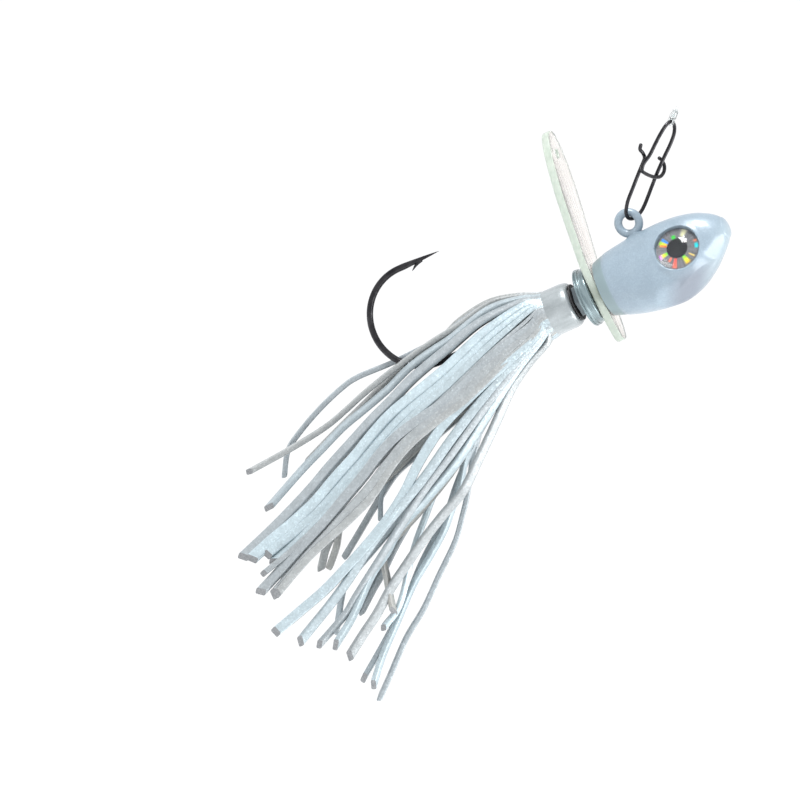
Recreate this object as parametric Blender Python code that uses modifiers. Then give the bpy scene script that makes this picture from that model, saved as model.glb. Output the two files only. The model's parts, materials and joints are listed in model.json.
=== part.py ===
"""Jig-style spinner lure hanging from a wire snap: cast fish head, clear plastic blade, strand skirt, one hook.

Metres, +Z up. The origin is where the line leaves the knot, and everything hangs below it. Pieces on the
lure are laid out in the shaft frame: +X along the shaft to the nose, +Z to the line eye's side, with the
origin on the shaft where the blade is. The shaft frame is a child of an empty at the centre of the line
eye, which is the axis that the lure swings about.
"""

import math

import bmesh
import bpy
import numpy as np
from mathutils import Matrix, Vector

MM = 0.001

# How the lure hangs
HANG_ANGLE = math.radians(47.2)   # the shaft's nose-up slope at rest
SNAP_TURN = math.radians(68.0)    # the snap's plane about the vertical, away from the lure's own plane

# Line and knot
LINE_DIAMETER = 0.42 * MM
KNOT_HEIGHT = 2.6 * MM            # from the snap's top wire to the line's exit
KNOT_DIAMETER = 1.45 * MM
KNOT_TOP_SHARE = 0.78             # of the knot's height, where its wraps end
TAIL_START_SHARE = 0.55           # and where its cut tail leaves it
TAIL_RUN = Vector((0.7, 0.9, 0.7)) * MM

# Snap
SNAP_WIRE = 0.65 * MM
SNAP_LENGTH = 18.4 * MM           # between the wire centres of its two loops
SNAP_LAP = 0.37 * MM              # half the offset where two wires of the snap lie side by side

# Hook
HOOK_WIRE = 1.15 * MM
EYE_RING_RADIUS = 1.85 * MM       # to the middle of the ring's wire
EYE_RING_WIRE = 1.30 * MM
RING_X = 11.2 * MM                # the line eye's centre in the shaft frame
RING_Z = 8.9 * MM
HEEL_RADIUS = 1.6 * MM            # bend between the eye's post and the shank
BEND_X = -29.6 * MM               # where the shank turns into the round bend
BEND_RADIUS = 8.8 * MM
POINT_X = -21.8 * MM
POINT_TAPER = 6.5 * MM            # length of the ground point
BARB_X = -26.1 * MM
BARB_LENGTH = 2.1 * MM
BARB_RISE = 1.15 * MM

# Head
HEAD_REAR_X = 2.70 * MM
HEAD_SKEW = 0.22                  # how much the cheeks narrow to the back and widen to the belly
HEAD_CLEARANCE = 0.12 * MM        # round the hook inside the casting
LENS_X = 17.8 * MM
LENS_Z = 1.6 * MM
LENS_Y = 4.05 * MM                # the flat seat's middle, from the lure's own plane
LENS_RADIUS = 3.95 * MM
LENS_TILT = math.radians(25.0)    # the cheek's seat faces a little up
LENS_TOE = math.radians(9.0)      # and a little forward
FOIL_THICKNESS = 0.18 * MM
DOME_HEIGHT = 1.25 * MM
SMALL_GAP = 0.06 * MM

# Blade and what carries it
BLADE_THICKNESS = 1.4 * MM
BLADE_X = 1.78 * MM               # the plate's middle
BLADE_TOP = 28.9 * MM
BLADE_BOTTOM = 9.2 * MM
BLADE_BEND_Z = 5.2 * MM
BLADE_BEND = math.radians(6.1)
BEND_SOFTNESS = 0.8 * MM
BLADE_EDGE_ROUND = 0.22 * MM
BLADE_HOLE_RADIUS = 0.75 * MM
BLADE_HOLE_FROM_TIP = 4.1 * MM
BUSH_RADIUS = 1.60 * MM
BUSH_REAR = -2.68 * MM
BUSH_FRONT = 2.60 * MM
RUNNING_GAP = 0.08 * MM
FIT_GAP = 0.10 * MM
FLANGE_REAR = -1.65 * MM
FLANGE_RECESS = -1.35 * MM        # the dished rear face that the nut sits in
FLANGE_FRONT = 0.90 * MM
RIM_RADIUS = 5.2 * MM
RIM_LENGTH = 0.85 * MM
DRUM_RADIUS = 4.95 * MM
NUT_ACROSS_CORNERS = 6.0 * MM
NUT_LENGTH = 1.2 * MM
NUT_FRONT = -1.45 * MM
NUT_CHAMFER = 0.2 * MM
WASHER_RADIUS = 3.3 * MM
WASHER_FRONT = -2.75 * MM
WASHER_REAR = -2.95 * MM

# Skirt
KEEPER_RADIUS = 2.70 * MM
KEEPER_FRONT = -3.25 * MM
KEEPER_REAR = -9.6 * MM
SKIRT_FRONT = -3.15 * MM
SLEEVE_RADIUS = 4.05 * MM
SKIRT_WALL = 1.2 * MM
SLOT_WIDTH = 2.4 * MM

CIRCLE_STEPS = 24

for old in list(bpy.data.objects):
    bpy.data.objects.remove(old, do_unlink=True)

parts = bpy.data.collections.new("spinner_lure")
cutters = bpy.data.collections.new("cutters")
bpy.context.scene.collection.children.link(parts)
bpy.context.scene.collection.children.link(cutters)


# ---------------------------------------------------------------- helpers

def material(name, colour, roughness, metallic=0.0, transmission=0.0):
    """A Principled material with one colour."""
    made = bpy.data.materials.new(name)
    made.use_nodes = True
    shader = made.node_tree.nodes["Principled BSDF"]
    shader.inputs["Base Color"].default_value = (*colour, 1.0)
    shader.inputs["Roughness"].default_value = roughness
    shader.inputs["Metallic"].default_value = metallic
    shader.inputs["Transmission Weight"].default_value = transmission
    made.diffuse_color = (*colour, 1.0)
    return made


def empty(name, location, parent=None, turn=(0.0, 0.0, 0.0)):
    """An axis marker that pieces are parented to."""
    marker = bpy.data.objects.new(name, None)
    marker.empty_display_size = 2 * MM
    marker.location = location
    marker.rotation_euler = turn
    marker.parent = parent
    parts.objects.link(marker)
    return marker


def add_object(name, mesh, home, parent=None, colour=None):
    """Links a mesh as an object, with its material and smooth shading."""
    made = bpy.data.objects.new(name, mesh)
    home.objects.link(made)
    made.parent = parent
    if colour is not None:
        mesh.materials.clear()
        mesh.materials.append(colour)
    if home is cutters:
        made.hide_render = True
        made.display_type = "WIRE"
    mesh.shade_smooth()
    mesh.set_sharp_from_angle(angle=math.radians(35))
    return made


def mesh_from_bmesh(name, shape):
    """Closes a bmesh into a mesh with its faces pointing out."""
    bmesh.ops.recalc_face_normals(shape, faces=shape.faces)
    mesh = bpy.data.meshes.new(name)
    shape.to_mesh(mesh)
    shape.free()
    return mesh


def wire_mesh(name, points, radius, thickness=None, cyclic=False):
    """A round wire along points: a POLY spline with a bevel, made into a mesh with welded caps."""
    curve = bpy.data.curves.new(name, "CURVE")
    curve.dimensions = "3D"
    curve.bevel_depth = radius
    curve.bevel_resolution = 2
    curve.use_fill_caps = not cyclic
    spline = curve.splines.new("POLY")
    spline.points.add(len(points) - 1)
    for index, point in enumerate(points):
        spline.points[index].co = (*point, 1.0)
        spline.points[index].radius = 1.0 if thickness is None else thickness[index]
    spline.use_cyclic_u = cyclic
    carrier = bpy.data.objects.new(name + "_curve", curve)
    cutters.objects.link(carrier)
    bpy.context.view_layer.update()
    evaluated = carrier.evaluated_get(bpy.context.evaluated_depsgraph_get())
    mesh = bpy.data.meshes.new_from_object(evaluated)
    bpy.data.objects.remove(carrier, do_unlink=True)
    bpy.data.curves.remove(curve)
    shape = bmesh.new()
    shape.from_mesh(mesh)
    bmesh.ops.remove_doubles(shape, verts=shape.verts, dist=1e-6)
    bpy.data.meshes.remove(mesh)
    return mesh_from_bmesh(name, shape)


def smooth_path(points, step):
    """Points about step apart along a Catmull-Rom curve through the given ones."""
    ends = [2 * points[0] - points[1], *points, 2 * points[-1] - points[-2]]
    path = []
    for p0, p1, p2, p3 in zip(ends, ends[1:], ends[2:], ends[3:]):
        count = max(1, round((p2 - p1).length / step))
        for k in range(count):
            t = k / count
            path.append(
                0.5 * (2 * p1 + (p2 - p0) * t + (2 * p0 - 5 * p1 + 4 * p2 - p3) * t**2
                       + (3 * p1 - p0 - 3 * p2 + p3) * t**3)
            )
    path.append(points[-1])
    return path


def arc(centre, radius, start, end, count):
    """Points of an arc in the XZ plane, angles in degrees from +X towards +Z."""
    angles = np.radians(np.linspace(start, end, count + 1))
    return [Vector((centre[0] + radius * math.cos(a), 0.0, centre[1] + radius * math.sin(a))) for a in angles]


def turned_mesh(name, profile, steps=CIRCLE_STEPS):
    """A ring turned about the shaft from a closed outline of (x, radius) points."""
    shape = bmesh.new()
    rings = []
    for k in range(steps):
        turn = Matrix.Rotation(2 * math.pi * k / steps, 3, "X")
        rings.append([shape.verts.new(turn @ Vector((x, 0.0, r))) for x, r in profile])
    for k, ring in enumerate(rings):
        after = rings[(k + 1) % steps]
        for i in range(len(profile)):
            j = (i + 1) % len(profile)
            shape.faces.new((ring[i], ring[j], after[j], after[i]))
    return mesh_from_bmesh(name, shape)


def cylinder_mesh(name, radius, start, end, steps=CIRCLE_STEPS):
    """A solid cylinder between two points."""
    along = end - start
    place = Matrix.Translation((start + end) / 2) @ along.to_track_quat("Z", "Y").to_matrix().to_4x4()
    shape = bmesh.new()
    bmesh.ops.create_cone(
        shape, cap_ends=True, segments=steps, radius1=radius, radius2=radius, depth=along.length, matrix=place
    )
    return mesh_from_bmesh(name, shape)


def cut(target, cutter, operation="DIFFERENCE"):
    """Adds a Boolean modifier that stays on the target."""
    change = target.modifiers.new(cutter.name, "BOOLEAN")
    change.object = cutter
    change.operation = operation
    change.solver = "EXACT"
    return change


def loft_mesh(name, sections, close_ends):
    """A skin over rings of equally many points, with or without end faces."""
    shape = bmesh.new()
    rings = [[shape.verts.new(p) for p in section] for section in sections]
    count = len(rings[0])
    for ring, after in zip(rings, rings[1:]):
        for i in range(count):
            j = (i + 1) % count
            shape.faces.new((ring[i], ring[j], after[j], after[i]))
    if close_ends:
        shape.faces.new(rings[0])
        shape.faces.new(rings[-1])
    return mesh_from_bmesh(name, shape)


# ---------------------------------------------------------------- materials

CLEAR_LINE = material("clear_line", (0.90, 0.93, 0.93), 0.15, transmission=0.6)
BLACK_NICKEL = material("black_nickel", (0.035, 0.035, 0.04), 0.22, metallic=0.9)
PEARL_COAT = material("pearl_coat", (0.66, 0.76, 0.88), 0.18)
EYE_FOIL = material("eye_foil", (0.45, 0.46, 0.50), 0.20, metallic=0.8)
EYE_RESIN = material("eye_resin", (0.92, 0.93, 0.95), 0.05, transmission=0.9)
CLEAR_PLASTIC = material("clear_plastic", (0.86, 0.92, 0.86), 0.08, transmission=0.8)
BRASS = material("bush_metal", (0.75, 0.62, 0.35), 0.30, metallic=1.0)
GREY_COLLAR = material("grey_collar", (0.36, 0.45, 0.47), 0.20, metallic=0.3)
DARK_NUT = material("dark_nut", (0.05, 0.055, 0.06), 0.35, metallic=0.7)
BLACK_RUBBER = material("black_rubber", (0.02, 0.02, 0.02), 0.60)
KEEPER_METAL = material("keeper_metal", (0.50, 0.51, 0.53), 0.45, metallic=0.8)
PEARL_SILICONE = material("pearl_silicone", (0.78, 0.79, 0.80), 0.30)

# ---------------------------------------------------------------- axes

snap_top = Vector((0.0, 0.0, -KNOT_HEIGHT))
ring_drop = SNAP_LENGTH + EYE_RING_RADIUS - EYE_RING_WIRE / 2 - SNAP_WIRE / 2 - FIT_GAP
snap_axis = empty("snap_axis", snap_top, turn=(0.0, 0.0, SNAP_TURN))
lure_axis = empty("lure_axis", snap_top - Vector((0.0, 0.0, ring_drop)), turn=(0.0, -HANG_ANGLE, 0.0))
shaft = empty("shaft", (-RING_X, 0.0, -RING_Z), parent=lure_axis)
blade_axis = empty("blade_axis", (0.0, 0.0, 0.0), parent=shaft)


# ---------------------------------------------------------------- line and snap

def make_line_knot():
    """The loop round the snap's wire, the wraps above it and the line's cut tail."""
    reach = (SNAP_WIRE + LINE_DIAMETER) / 2 + SMALL_GAP
    angles = np.radians(np.linspace(0, 360, 17)[:-1])
    circle = [Vector((0.0, reach * math.sin(a), reach * math.cos(a))) for a in angles]
    loop = wire_mesh("knot_loop", circle, LINE_DIAMETER / 2, cyclic=True)
    barrel_low = Vector((0.0, 0.0, reach * 0.75))
    barrel_high = Vector((0.0, 0.0, KNOT_HEIGHT * KNOT_TOP_SHARE))
    knot = add_object("line_knot", loop, parts, snap_axis, CLEAR_LINE)
    barrel = add_object(
        "knot_barrel", cylinder_mesh("knot_barrel", KNOT_DIAMETER / 2, barrel_low, barrel_high, 16), cutters, snap_axis
    )
    top = Vector((0.0, 0.0, KNOT_HEIGHT))
    stub = add_object(
        "knot_stub", cylinder_mesh("knot_stub", LINE_DIAMETER / 2, barrel_low, top, 12),
        cutters, snap_axis
    )
    tail_start = Vector((0.0, 0.0, KNOT_HEIGHT * TAIL_START_SHARE))
    tail = add_object(
        "knot_tail",
        cylinder_mesh("knot_tail", LINE_DIAMETER / 2, tail_start, tail_start + TAIL_RUN, 12),
        cutters, snap_axis
    )
    for piece in (barrel, stub, tail):
        cut(knot, piece, "UNION")
    return knot


def make_snap_wire():
    """One bent wire: (across, out of plane, down) of each point, in millimetres.

    It starts at the free curl over the left leg, runs round the lower loop, up the right leg and round the
    upper loop, down the left leg and across to the latch that holds the right leg.
    """
    lap = SNAP_LAP / MM
    low = SNAP_LENGTH / MM
    route = [
        (-4.7, lap + 0.5, 5.2), (-4.3, lap + 0.55, 6.0), (-3.5, lap + 0.25, 6.5), (-2.75, lap, 7.3),
        (-2.65, lap, 8.8), (-2.8, lap * 0.7, 10.6), (-3.1, 0.0, 13.4), (-2.95, 0.0, 15.4),
        (-2.2, 0.0, 17.2), (-1.1, 0.0, low - 0.25), (0.0, 0.0, low), (1.1, 0.0, low - 0.25), (2.1, 0.0, 17.2),
        (2.5, 0.0, 15.6), (2.35, 0.0, 12.0), (2.25, 0.0, 9.7), (2.35, 0.0, 6.8), (2.6, 0.0, 4.0),
        (2.35, 0.0, 2.0), (1.35, 0.0, 0.55), (0.0, 0.0, 0.0), (-1.0, 0.0, 0.75), (-1.6, 0.0, 2.4),
        (-2.3, -lap * 0.6, 4.4), (-2.95, -lap - 0.1, 6.4), (-3.65, -lap - 0.1, 7.9), (-3.4, -lap - 0.1, 9.2),
        (-2.2, -lap - 0.1, 9.7), (0.1, -0.5, 10.1), (1.5, -0.68, 10.1), (2.5, -0.78, 9.8),
        (3.4, -0.45, 9.0), (3.65, 0.1, 8.1), (3.1, 0.66, 7.4), (2.3, 0.78, 7.1),
    ]
    points = [Vector((across, out, -down)) * MM for across, out, down in route]
    return add_object(
        "snap_wire", wire_mesh("snap_wire", smooth_path(points, 0.75 * MM), SNAP_WIRE / 2), parts, snap_axis, BLACK_NICKEL
    )


# ---------------------------------------------------------------- hook and head

def hook_path():
    """The middle of the hook's wire from the eye's post to the point, in the shaft frame."""
    post_top = Vector((RING_X, 0.0, RING_Z - EYE_RING_RADIUS))
    heel = arc((RING_X - HEEL_RADIUS, HEEL_RADIUS), HEEL_RADIUS, 0, -90, 6)
    bend = arc((BEND_X, BEND_RADIUS), BEND_RADIUS, 270, 90, 20)
    return [post_top, *heel, Vector((BEND_X / 2, 0.0, 0.0)), *bend]


def make_hook():
    """Line eye, post, shank, round bend, ground point and barb in one piece."""
    path = hook_path()
    point_z = 2 * BEND_RADIUS
    shares = (0.0, 0.35, 0.7, 0.92, 1.0)
    widths = (1.0, 0.80, 0.48, 0.20, 0.08)
    point = [Vector((POINT_X - POINT_TAPER * (1 - share), 0.0, point_z)) for share in shares]
    thickness = [1.0] * len(path) + list(widths)
    hook = add_object(
        "hook", wire_mesh("hook", path + point, HOOK_WIRE / 2, thickness), parts, shaft, BLACK_NICKEL
    )
    angles = np.radians(np.linspace(0, 360, 25)[:-1])
    ring_points = [
        Vector((RING_X + EYE_RING_RADIUS * math.cos(a), 0.0, RING_Z + EYE_RING_RADIUS * math.sin(a))) for a in angles
    ]
    ring = add_object("eye_ring", wire_mesh("eye_ring", ring_points, EYE_RING_WIRE / 2, cyclic=True), cutters, shaft)
    barb_points = [
        Vector((BARB_X, 0.0, point_z - 0.1 * MM)),
        Vector((BARB_X - BARB_LENGTH * 0.55, 0.0, point_z - BARB_RISE * 0.5)),
        Vector((BARB_X - BARB_LENGTH, 0.0, point_z - BARB_RISE - 0.1 * MM)),
    ]
    barb = add_object("barb", wire_mesh("barb", barb_points, HOOK_WIRE / 3, (1.0, 0.6, 0.15)), cutters, shaft)
    cut(hook, ring, "UNION")
    cut(hook, barb, "UNION")
    return hook


def lens_seat(side):
    """The middle of a cheek's flat seat, its outward normal, and a turn that carries +Z to the normal."""
    middle = Vector((LENS_X, side * LENS_Y, LENS_Z))
    outward = Vector((
        math.sin(LENS_TOE) * math.cos(LENS_TILT), side * math.cos(LENS_TOE) * math.cos(LENS_TILT), math.sin(LENS_TILT)
    ))
    return middle, outward, outward.to_track_quat("Z", "Y")


def step_up(value, low, high):
    """0 below low, 1 above high, smooth between."""
    t = min(max((value - low) / (high - low), 0.0), 1.0)
    return t * t * (3 - 2 * t)


def head_sections():
    """Cross-sections from the rear face to the snout: x, top, bottom, half width and squareness."""
    stations = np.array([
        (HEAD_REAR_X / MM, 5.05, -4.85, 4.80, 2.0),
        (3.9, 5.45, -5.25, 4.95, 2.0),
        (5.3, 5.85, -5.75, 5.10, 2.1),
        (8.2, 6.30, -6.60, 5.45, 2.2),
        (11.9, 6.70, -7.25, 5.65, 2.3),
        (15.5, 6.90, -7.40, 5.55, 2.4),
        (19.1, 6.70, -6.35, 5.05, 2.5),
        (22.2, 6.20, -4.50, 4.35, 2.6),
        (24.6, 5.20, -2.50, 3.60, 2.6),
        (26.2, 3.95, -0.85, 2.65, 2.5),
        (27.1, 2.60, 0.55, 1.35, 2.2),
    ])
    fine = []
    for k in range(len(stations) - 1):
        before = stations[max(k - 1, 0)]
        after = stations[min(k + 2, len(stations) - 1)]
        for t in (0.0, 0.5):
            a, b = stations[k], stations[k + 1]
            slope_a, slope_b = (b - before) / 2, (after - a) / 2
            fine.append(
                (2 * t**3 - 3 * t**2 + 1) * a + (t**3 - 2 * t**2 + t) * slope_a
                + (3 * t**2 - 2 * t**3) * b + (t**3 - t**2) * slope_b
            )
    fine.append(stations[-1])
    sections = []
    for x, top, bottom, half, square in fine:
        ring = []
        for angle in np.radians(np.arange(CIRCLE_STEPS) * 360 / CIRCLE_STEPS):
            c, s = math.cos(angle), math.sin(angle)
            y = half * math.copysign(abs(c) ** (2 / square), c)
            rise = math.copysign(abs(s) ** (2 / square), s)
            y *= 1 - HEAD_SKEW * rise * step_up(x, 3.0, 12.0)
            z = (top + bottom) / 2 + (top - bottom) / 2 * rise
            ring.append(Vector((x, y, z)) * MM)
        sections.append(ring)
    return sections


def make_head():
    """The casting, with a channel for the hook and a flat seat in each cheek."""
    head = add_object("head_casting", loft_mesh("head_casting", head_sections(), True), parts, shaft, PEARL_COAT)
    path = hook_path()
    channel_points = [path[0] + Vector((0.0, 0.0, 1.2 * MM)), *path[1:8], Vector((-2 * MM, 0.0, 0.0))]
    channel = add_object(
        "hook_channel", wire_mesh("hook_channel", channel_points, HOOK_WIRE / 2 + HEAD_CLEARANCE), cutters, shaft
    )
    relief = add_object(
        "ring_relief",
        wire_mesh(
            "ring_relief",
            [Vector((RING_X + EYE_RING_RADIUS * math.cos(a), 0.0, RING_Z + EYE_RING_RADIUS * math.sin(a)))
             for a in np.radians(np.linspace(0, 360, 25)[:-1])],
            EYE_RING_WIRE / 2 + HEAD_CLEARANCE, cyclic=True,
        ),
        cutters, shaft,
    )
    cut(head, channel)
    cut(head, relief)
    for side, word in ((-1, "right"), (1, "left")):
        middle, outward, _ = lens_seat(side)
        seat = cylinder_mesh("seat_" + word, LENS_RADIUS + FIT_GAP, middle, middle + outward * 5 * MM, 32)
        cut(head, add_object("seat_" + word, seat, cutters, shaft))
    return head


def make_lens(side, word):
    """One eye: a printed foil disc on the seat and a clear dome over it."""
    middle, outward, turn = lens_seat(side)
    foil_start = middle + outward * SMALL_GAP
    add_object(
        "eye_foil_" + word,
        cylinder_mesh("eye_foil_" + word, LENS_RADIUS, foil_start, foil_start + outward * FOIL_THICKNESS, 32),
        parts, shaft, EYE_FOIL
    )
    base = SMALL_GAP * 2 + FOIL_THICKNESS
    ball = (LENS_RADIUS**2 + DOME_HEIGHT**2) / (2 * DOME_HEIGHT)
    half_angle = math.asin(LENS_RADIUS / ball)
    rings = []
    for k in range(6):
        angle = half_angle * (1 - k / 6)
        height = base + DOME_HEIGHT - ball * (1 - math.cos(angle))
        rings.append([
            middle + turn @ Vector((ball * math.sin(angle) * math.cos(a), ball * math.sin(angle) * math.sin(a), height))
            for a in np.radians(np.linspace(0, 360, 33)[:-1])
        ])
    add_object("eye_dome_" + word, loft_mesh("eye_dome_" + word, rings, True), parts, shaft, EYE_RESIN)


# ---------------------------------------------------------------- blade and its hardware

def blade_outline():
    """The flat blade's edge as (across, up) points: a long egg above the shaft, a short tongue below."""
    half = [
        (0.0, -BLADE_BOTTOM / MM), (1.35, -8.9), (2.15, -7.85), (2.7, -6.4), (3.25, -4.6), (3.75, -1.5), (4.15, 3.0),
        (4.5, 7.5), (4.9, 11.5), (5.2, 15.5), (5.25, 18.5), (4.95, 21.5), (4.3, 24.3), (3.3, 26.8), (1.9, 28.4),
        (0.0, BLADE_TOP / MM),
    ]
    points = [Vector((0.0, y, z)) * MM for y, z in half]
    mirrored = [Vector((0.0, -p.y, p.z)) for p in reversed(points[1:-1])]
    return points + mirrored


def make_blade():
    """The clear blade: a plate with one slight bend, a bore for its bush and a small hole by the tip."""
    shape = bmesh.new()
    outline = blade_outline()
    back = [shape.verts.new(p - Vector((BLADE_THICKNESS / 2, 0.0, 0.0))) for p in outline]
    plate = shape.faces.new(back)
    grown = bmesh.ops.extrude_face_region(shape, geom=[plate])["geom"]
    front = [v for v in grown if isinstance(v, bmesh.types.BMVert)]
    bmesh.ops.translate(shape, verts=front, vec=(BLADE_THICKNESS, 0.0, 0.0))
    for share in (0.0, 0.5, 1.0):
        height = BLADE_BEND_Z + (share - 0.5) * 2 * MM
        bmesh.ops.bisect_plane(
            shape, geom=[*shape.verts, *shape.edges, *shape.faces], plane_co=(0, 0, height), plane_no=(0, 0, 1)
        )
    for vertex in shape.verts:
        over = vertex.co.z - BLADE_BEND_Z
        soft = over + math.sqrt(over**2 + BEND_SOFTNESS**2)
        vertex.co.x += BLADE_X + math.tan(BLADE_BEND) * soft / 2
    blade = add_object("blade", mesh_from_bmesh("blade", shape), parts, blade_axis, CLEAR_PLASTIC)
    bevel = blade.modifiers.new("edge_round", "BEVEL")
    bevel.width = BLADE_EDGE_ROUND
    bevel.segments = 2
    bevel.limit_method = "ANGLE"
    bevel.angle_limit = math.radians(50)
    bore = cylinder_mesh("blade_bore", BUSH_RADIUS + RUNNING_GAP, Vector((-5 * MM, 0, 0)), Vector((5 * MM, 0, 0)))
    cut(blade, add_object("blade_bore", bore, cutters, blade_axis))
    hole_z = BLADE_TOP - BLADE_HOLE_FROM_TIP
    hole = cylinder_mesh("tip_hole", BLADE_HOLE_RADIUS, Vector((-4 * MM, 0, hole_z)), Vector((12 * MM, 0, hole_z)), 16)
    cut(blade, add_object("tip_hole", hole, cutters, blade_axis))
    return blade


def make_bush():
    """The metal tube on the shank that the blade turns on."""
    inner = HOOK_WIRE / 2 + FIT_GAP
    profile = [(BUSH_REAR, inner), (BUSH_REAR, BUSH_RADIUS), (BUSH_FRONT, BUSH_RADIUS), (BUSH_FRONT, inner)]
    return add_object("blade_bush", turned_mesh("blade_bush", profile), parts, shaft, BRASS)


def make_flange():
    """The collar behind the blade: a drum with a rim at its rear, dished for the nut."""
    inner = BUSH_RADIUS + SMALL_GAP
    soft = 0.2 * MM
    rim_front = FLANGE_REAR + RIM_LENGTH
    profile = [
        (FLANGE_FRONT, inner), (FLANGE_FRONT, DRUM_RADIUS - soft), (FLANGE_FRONT - soft, DRUM_RADIUS),
        (rim_front, DRUM_RADIUS), (rim_front - soft, RIM_RADIUS), (FLANGE_REAR + soft, RIM_RADIUS),
        (FLANGE_REAR, RIM_RADIUS - soft), (FLANGE_REAR, RIM_RADIUS - 4 * soft), (FLANGE_RECESS, RIM_RADIUS - 5 * soft),
        (FLANGE_RECESS, inner),
    ]
    return add_object("rear_flange", turned_mesh("rear_flange", profile, 32), parts, shaft, GREY_COLLAR)


def make_nut():
    """The hexagon nut that locks the flange on the bush."""
    shape = bmesh.new()
    middle = Matrix.Translation((NUT_FRONT - NUT_LENGTH / 2, 0, 0))
    bmesh.ops.create_cone(
        shape, cap_ends=True, segments=6, radius1=NUT_ACROSS_CORNERS / 2, radius2=NUT_ACROSS_CORNERS / 2,
        depth=NUT_LENGTH, matrix=middle @ Matrix.Rotation(math.pi / 2, 4, "Y"),
    )
    nut = add_object("lock_nut", mesh_from_bmesh("lock_nut", shape), parts, shaft, DARK_NUT)
    bevel = nut.modifiers.new("chamfer", "BEVEL")
    bevel.width = NUT_CHAMFER
    bevel.segments = 1
    bore = cylinder_mesh("nut_bore", BUSH_RADIUS + SMALL_GAP, Vector((-4 * MM, 0, 0)), Vector((0, 0, 0)))
    cut(nut, add_object("nut_bore", bore, cutters, shaft))
    return nut


def make_washer():
    """The thin black washer between the nut and the skirt."""
    inner = HOOK_WIRE / 2 + FIT_GAP
    profile = [
        (WASHER_REAR, inner), (WASHER_REAR, WASHER_RADIUS), (WASHER_FRONT, WASHER_RADIUS), (WASHER_FRONT, inner)
    ]
    return add_object("rear_washer", turned_mesh("rear_washer", profile), parts, shaft, BLACK_RUBBER)


def make_keeper():
    """The barrel on the shank that the skirt is pulled over, with a raised lip at its rear."""
    inner = HOOK_WIRE / 2 + FIT_GAP
    lip = KEEPER_RADIUS
    waist = lip - 0.35 * MM
    profile = [
        (KEEPER_REAR, inner), (KEEPER_REAR, waist), (KEEPER_REAR + 0.5 * MM, lip), (KEEPER_REAR + 1.4 * MM, waist),
        (KEEPER_FRONT - 0.6 * MM, waist), (KEEPER_FRONT, lip), (KEEPER_FRONT, inner),
    ]
    profile = [(x, r) for x, r in reversed(profile)]
    return add_object("skirt_keeper", turned_mesh("skirt_keeper", profile), parts, shaft, KEEPER_METAL)


# ---------------------------------------------------------------- skirt

def skirt_sections():
    """Rings of the skirt: (top x, top z, bottom x, bottom z, half depth) in millimetres, from sleeve to tips."""
    radius = SLEEVE_RADIUS / MM
    front = SKIRT_FRONT / MM
    spans = [
        (front, radius, front, -radius, radius),
        (-7.6, radius, -6.9, -radius, radius),
        (-11.8, 5.2, -10.8, -5.3, 4.9),
        (-16.6, 6.5, -15.5, -7.7, 6.2),
        (-24.5, 5.6, -22.8, -13.0, 7.6),
        (-34.2, 3.6, -31.1, -21.0, 8.6),
        (-46.7, 1.6, -41.5, -30.6, 9.4),
        (-58.1, -1.2, -52.4, -39.6, 9.9),
        (-69.5, -5.5, -63.3, -48.5, 10.2),
    ]
    sections = []
    for top_x, top_z, low_x, low_z, depth in spans:
        middle = Vector(((top_x + low_x) / 2, 0.0, (top_z + low_z) / 2))
        half = Vector(((top_x - low_x) / 2, 0.0, (top_z - low_z) / 2))
        ring = []
        for angle in np.radians(np.arange(CIRCLE_STEPS) * 360 / CIRCLE_STEPS):
            ring.append((middle + half * math.sin(angle) + Vector((0.0, depth * math.cos(angle), 0.0))) * MM)
        sections.append(ring)
    return sections


def make_skirt():
    """The moulded skirt as a thin open bell of its outer shape, slotted where the hook's bend leaves it."""
    skirt = add_object("skirt", loft_mesh("skirt", skirt_sections(), False), parts, shaft, PEARL_SILICONE)
    wall = skirt.modifiers.new("wall", "SOLIDIFY")
    wall.thickness = SKIRT_WALL
    wall.offset = -1.0
    wall.use_even_offset = True
    bend = arc((BEND_X, BEND_RADIUS), BEND_RADIUS, 262, 150, 16)
    slot = add_object("hook_slot", wire_mesh("hook_slot", bend, SLOT_WIDTH / 2), cutters, shaft)
    cut(skirt, slot)
    return skirt


make_line_knot()
make_snap_wire()
make_hook()
make_head()
make_lens(-1, "right")
make_lens(1, "left")
make_blade()
make_bush()
make_flange()
make_nut()
make_washer()
make_keeper()
make_skirt()
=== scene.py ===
"""Looks of the jig-style spinner lure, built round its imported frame.

Every visible piece is modelled here in one of two frames that are read from the joints. The shaft frame has +X
along the hook's shank to the nose, +Z to the line eye's side, and its origin on the shank where the blade
turns. The snap frame has +X along the swing axis of the snap and +Z up. Sizes are in millimetres until a mesh
is made.
"""

import json
import math
import random

import bmesh
import bpy
import numpy as np
from mathutils import Matrix, Vector


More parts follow.
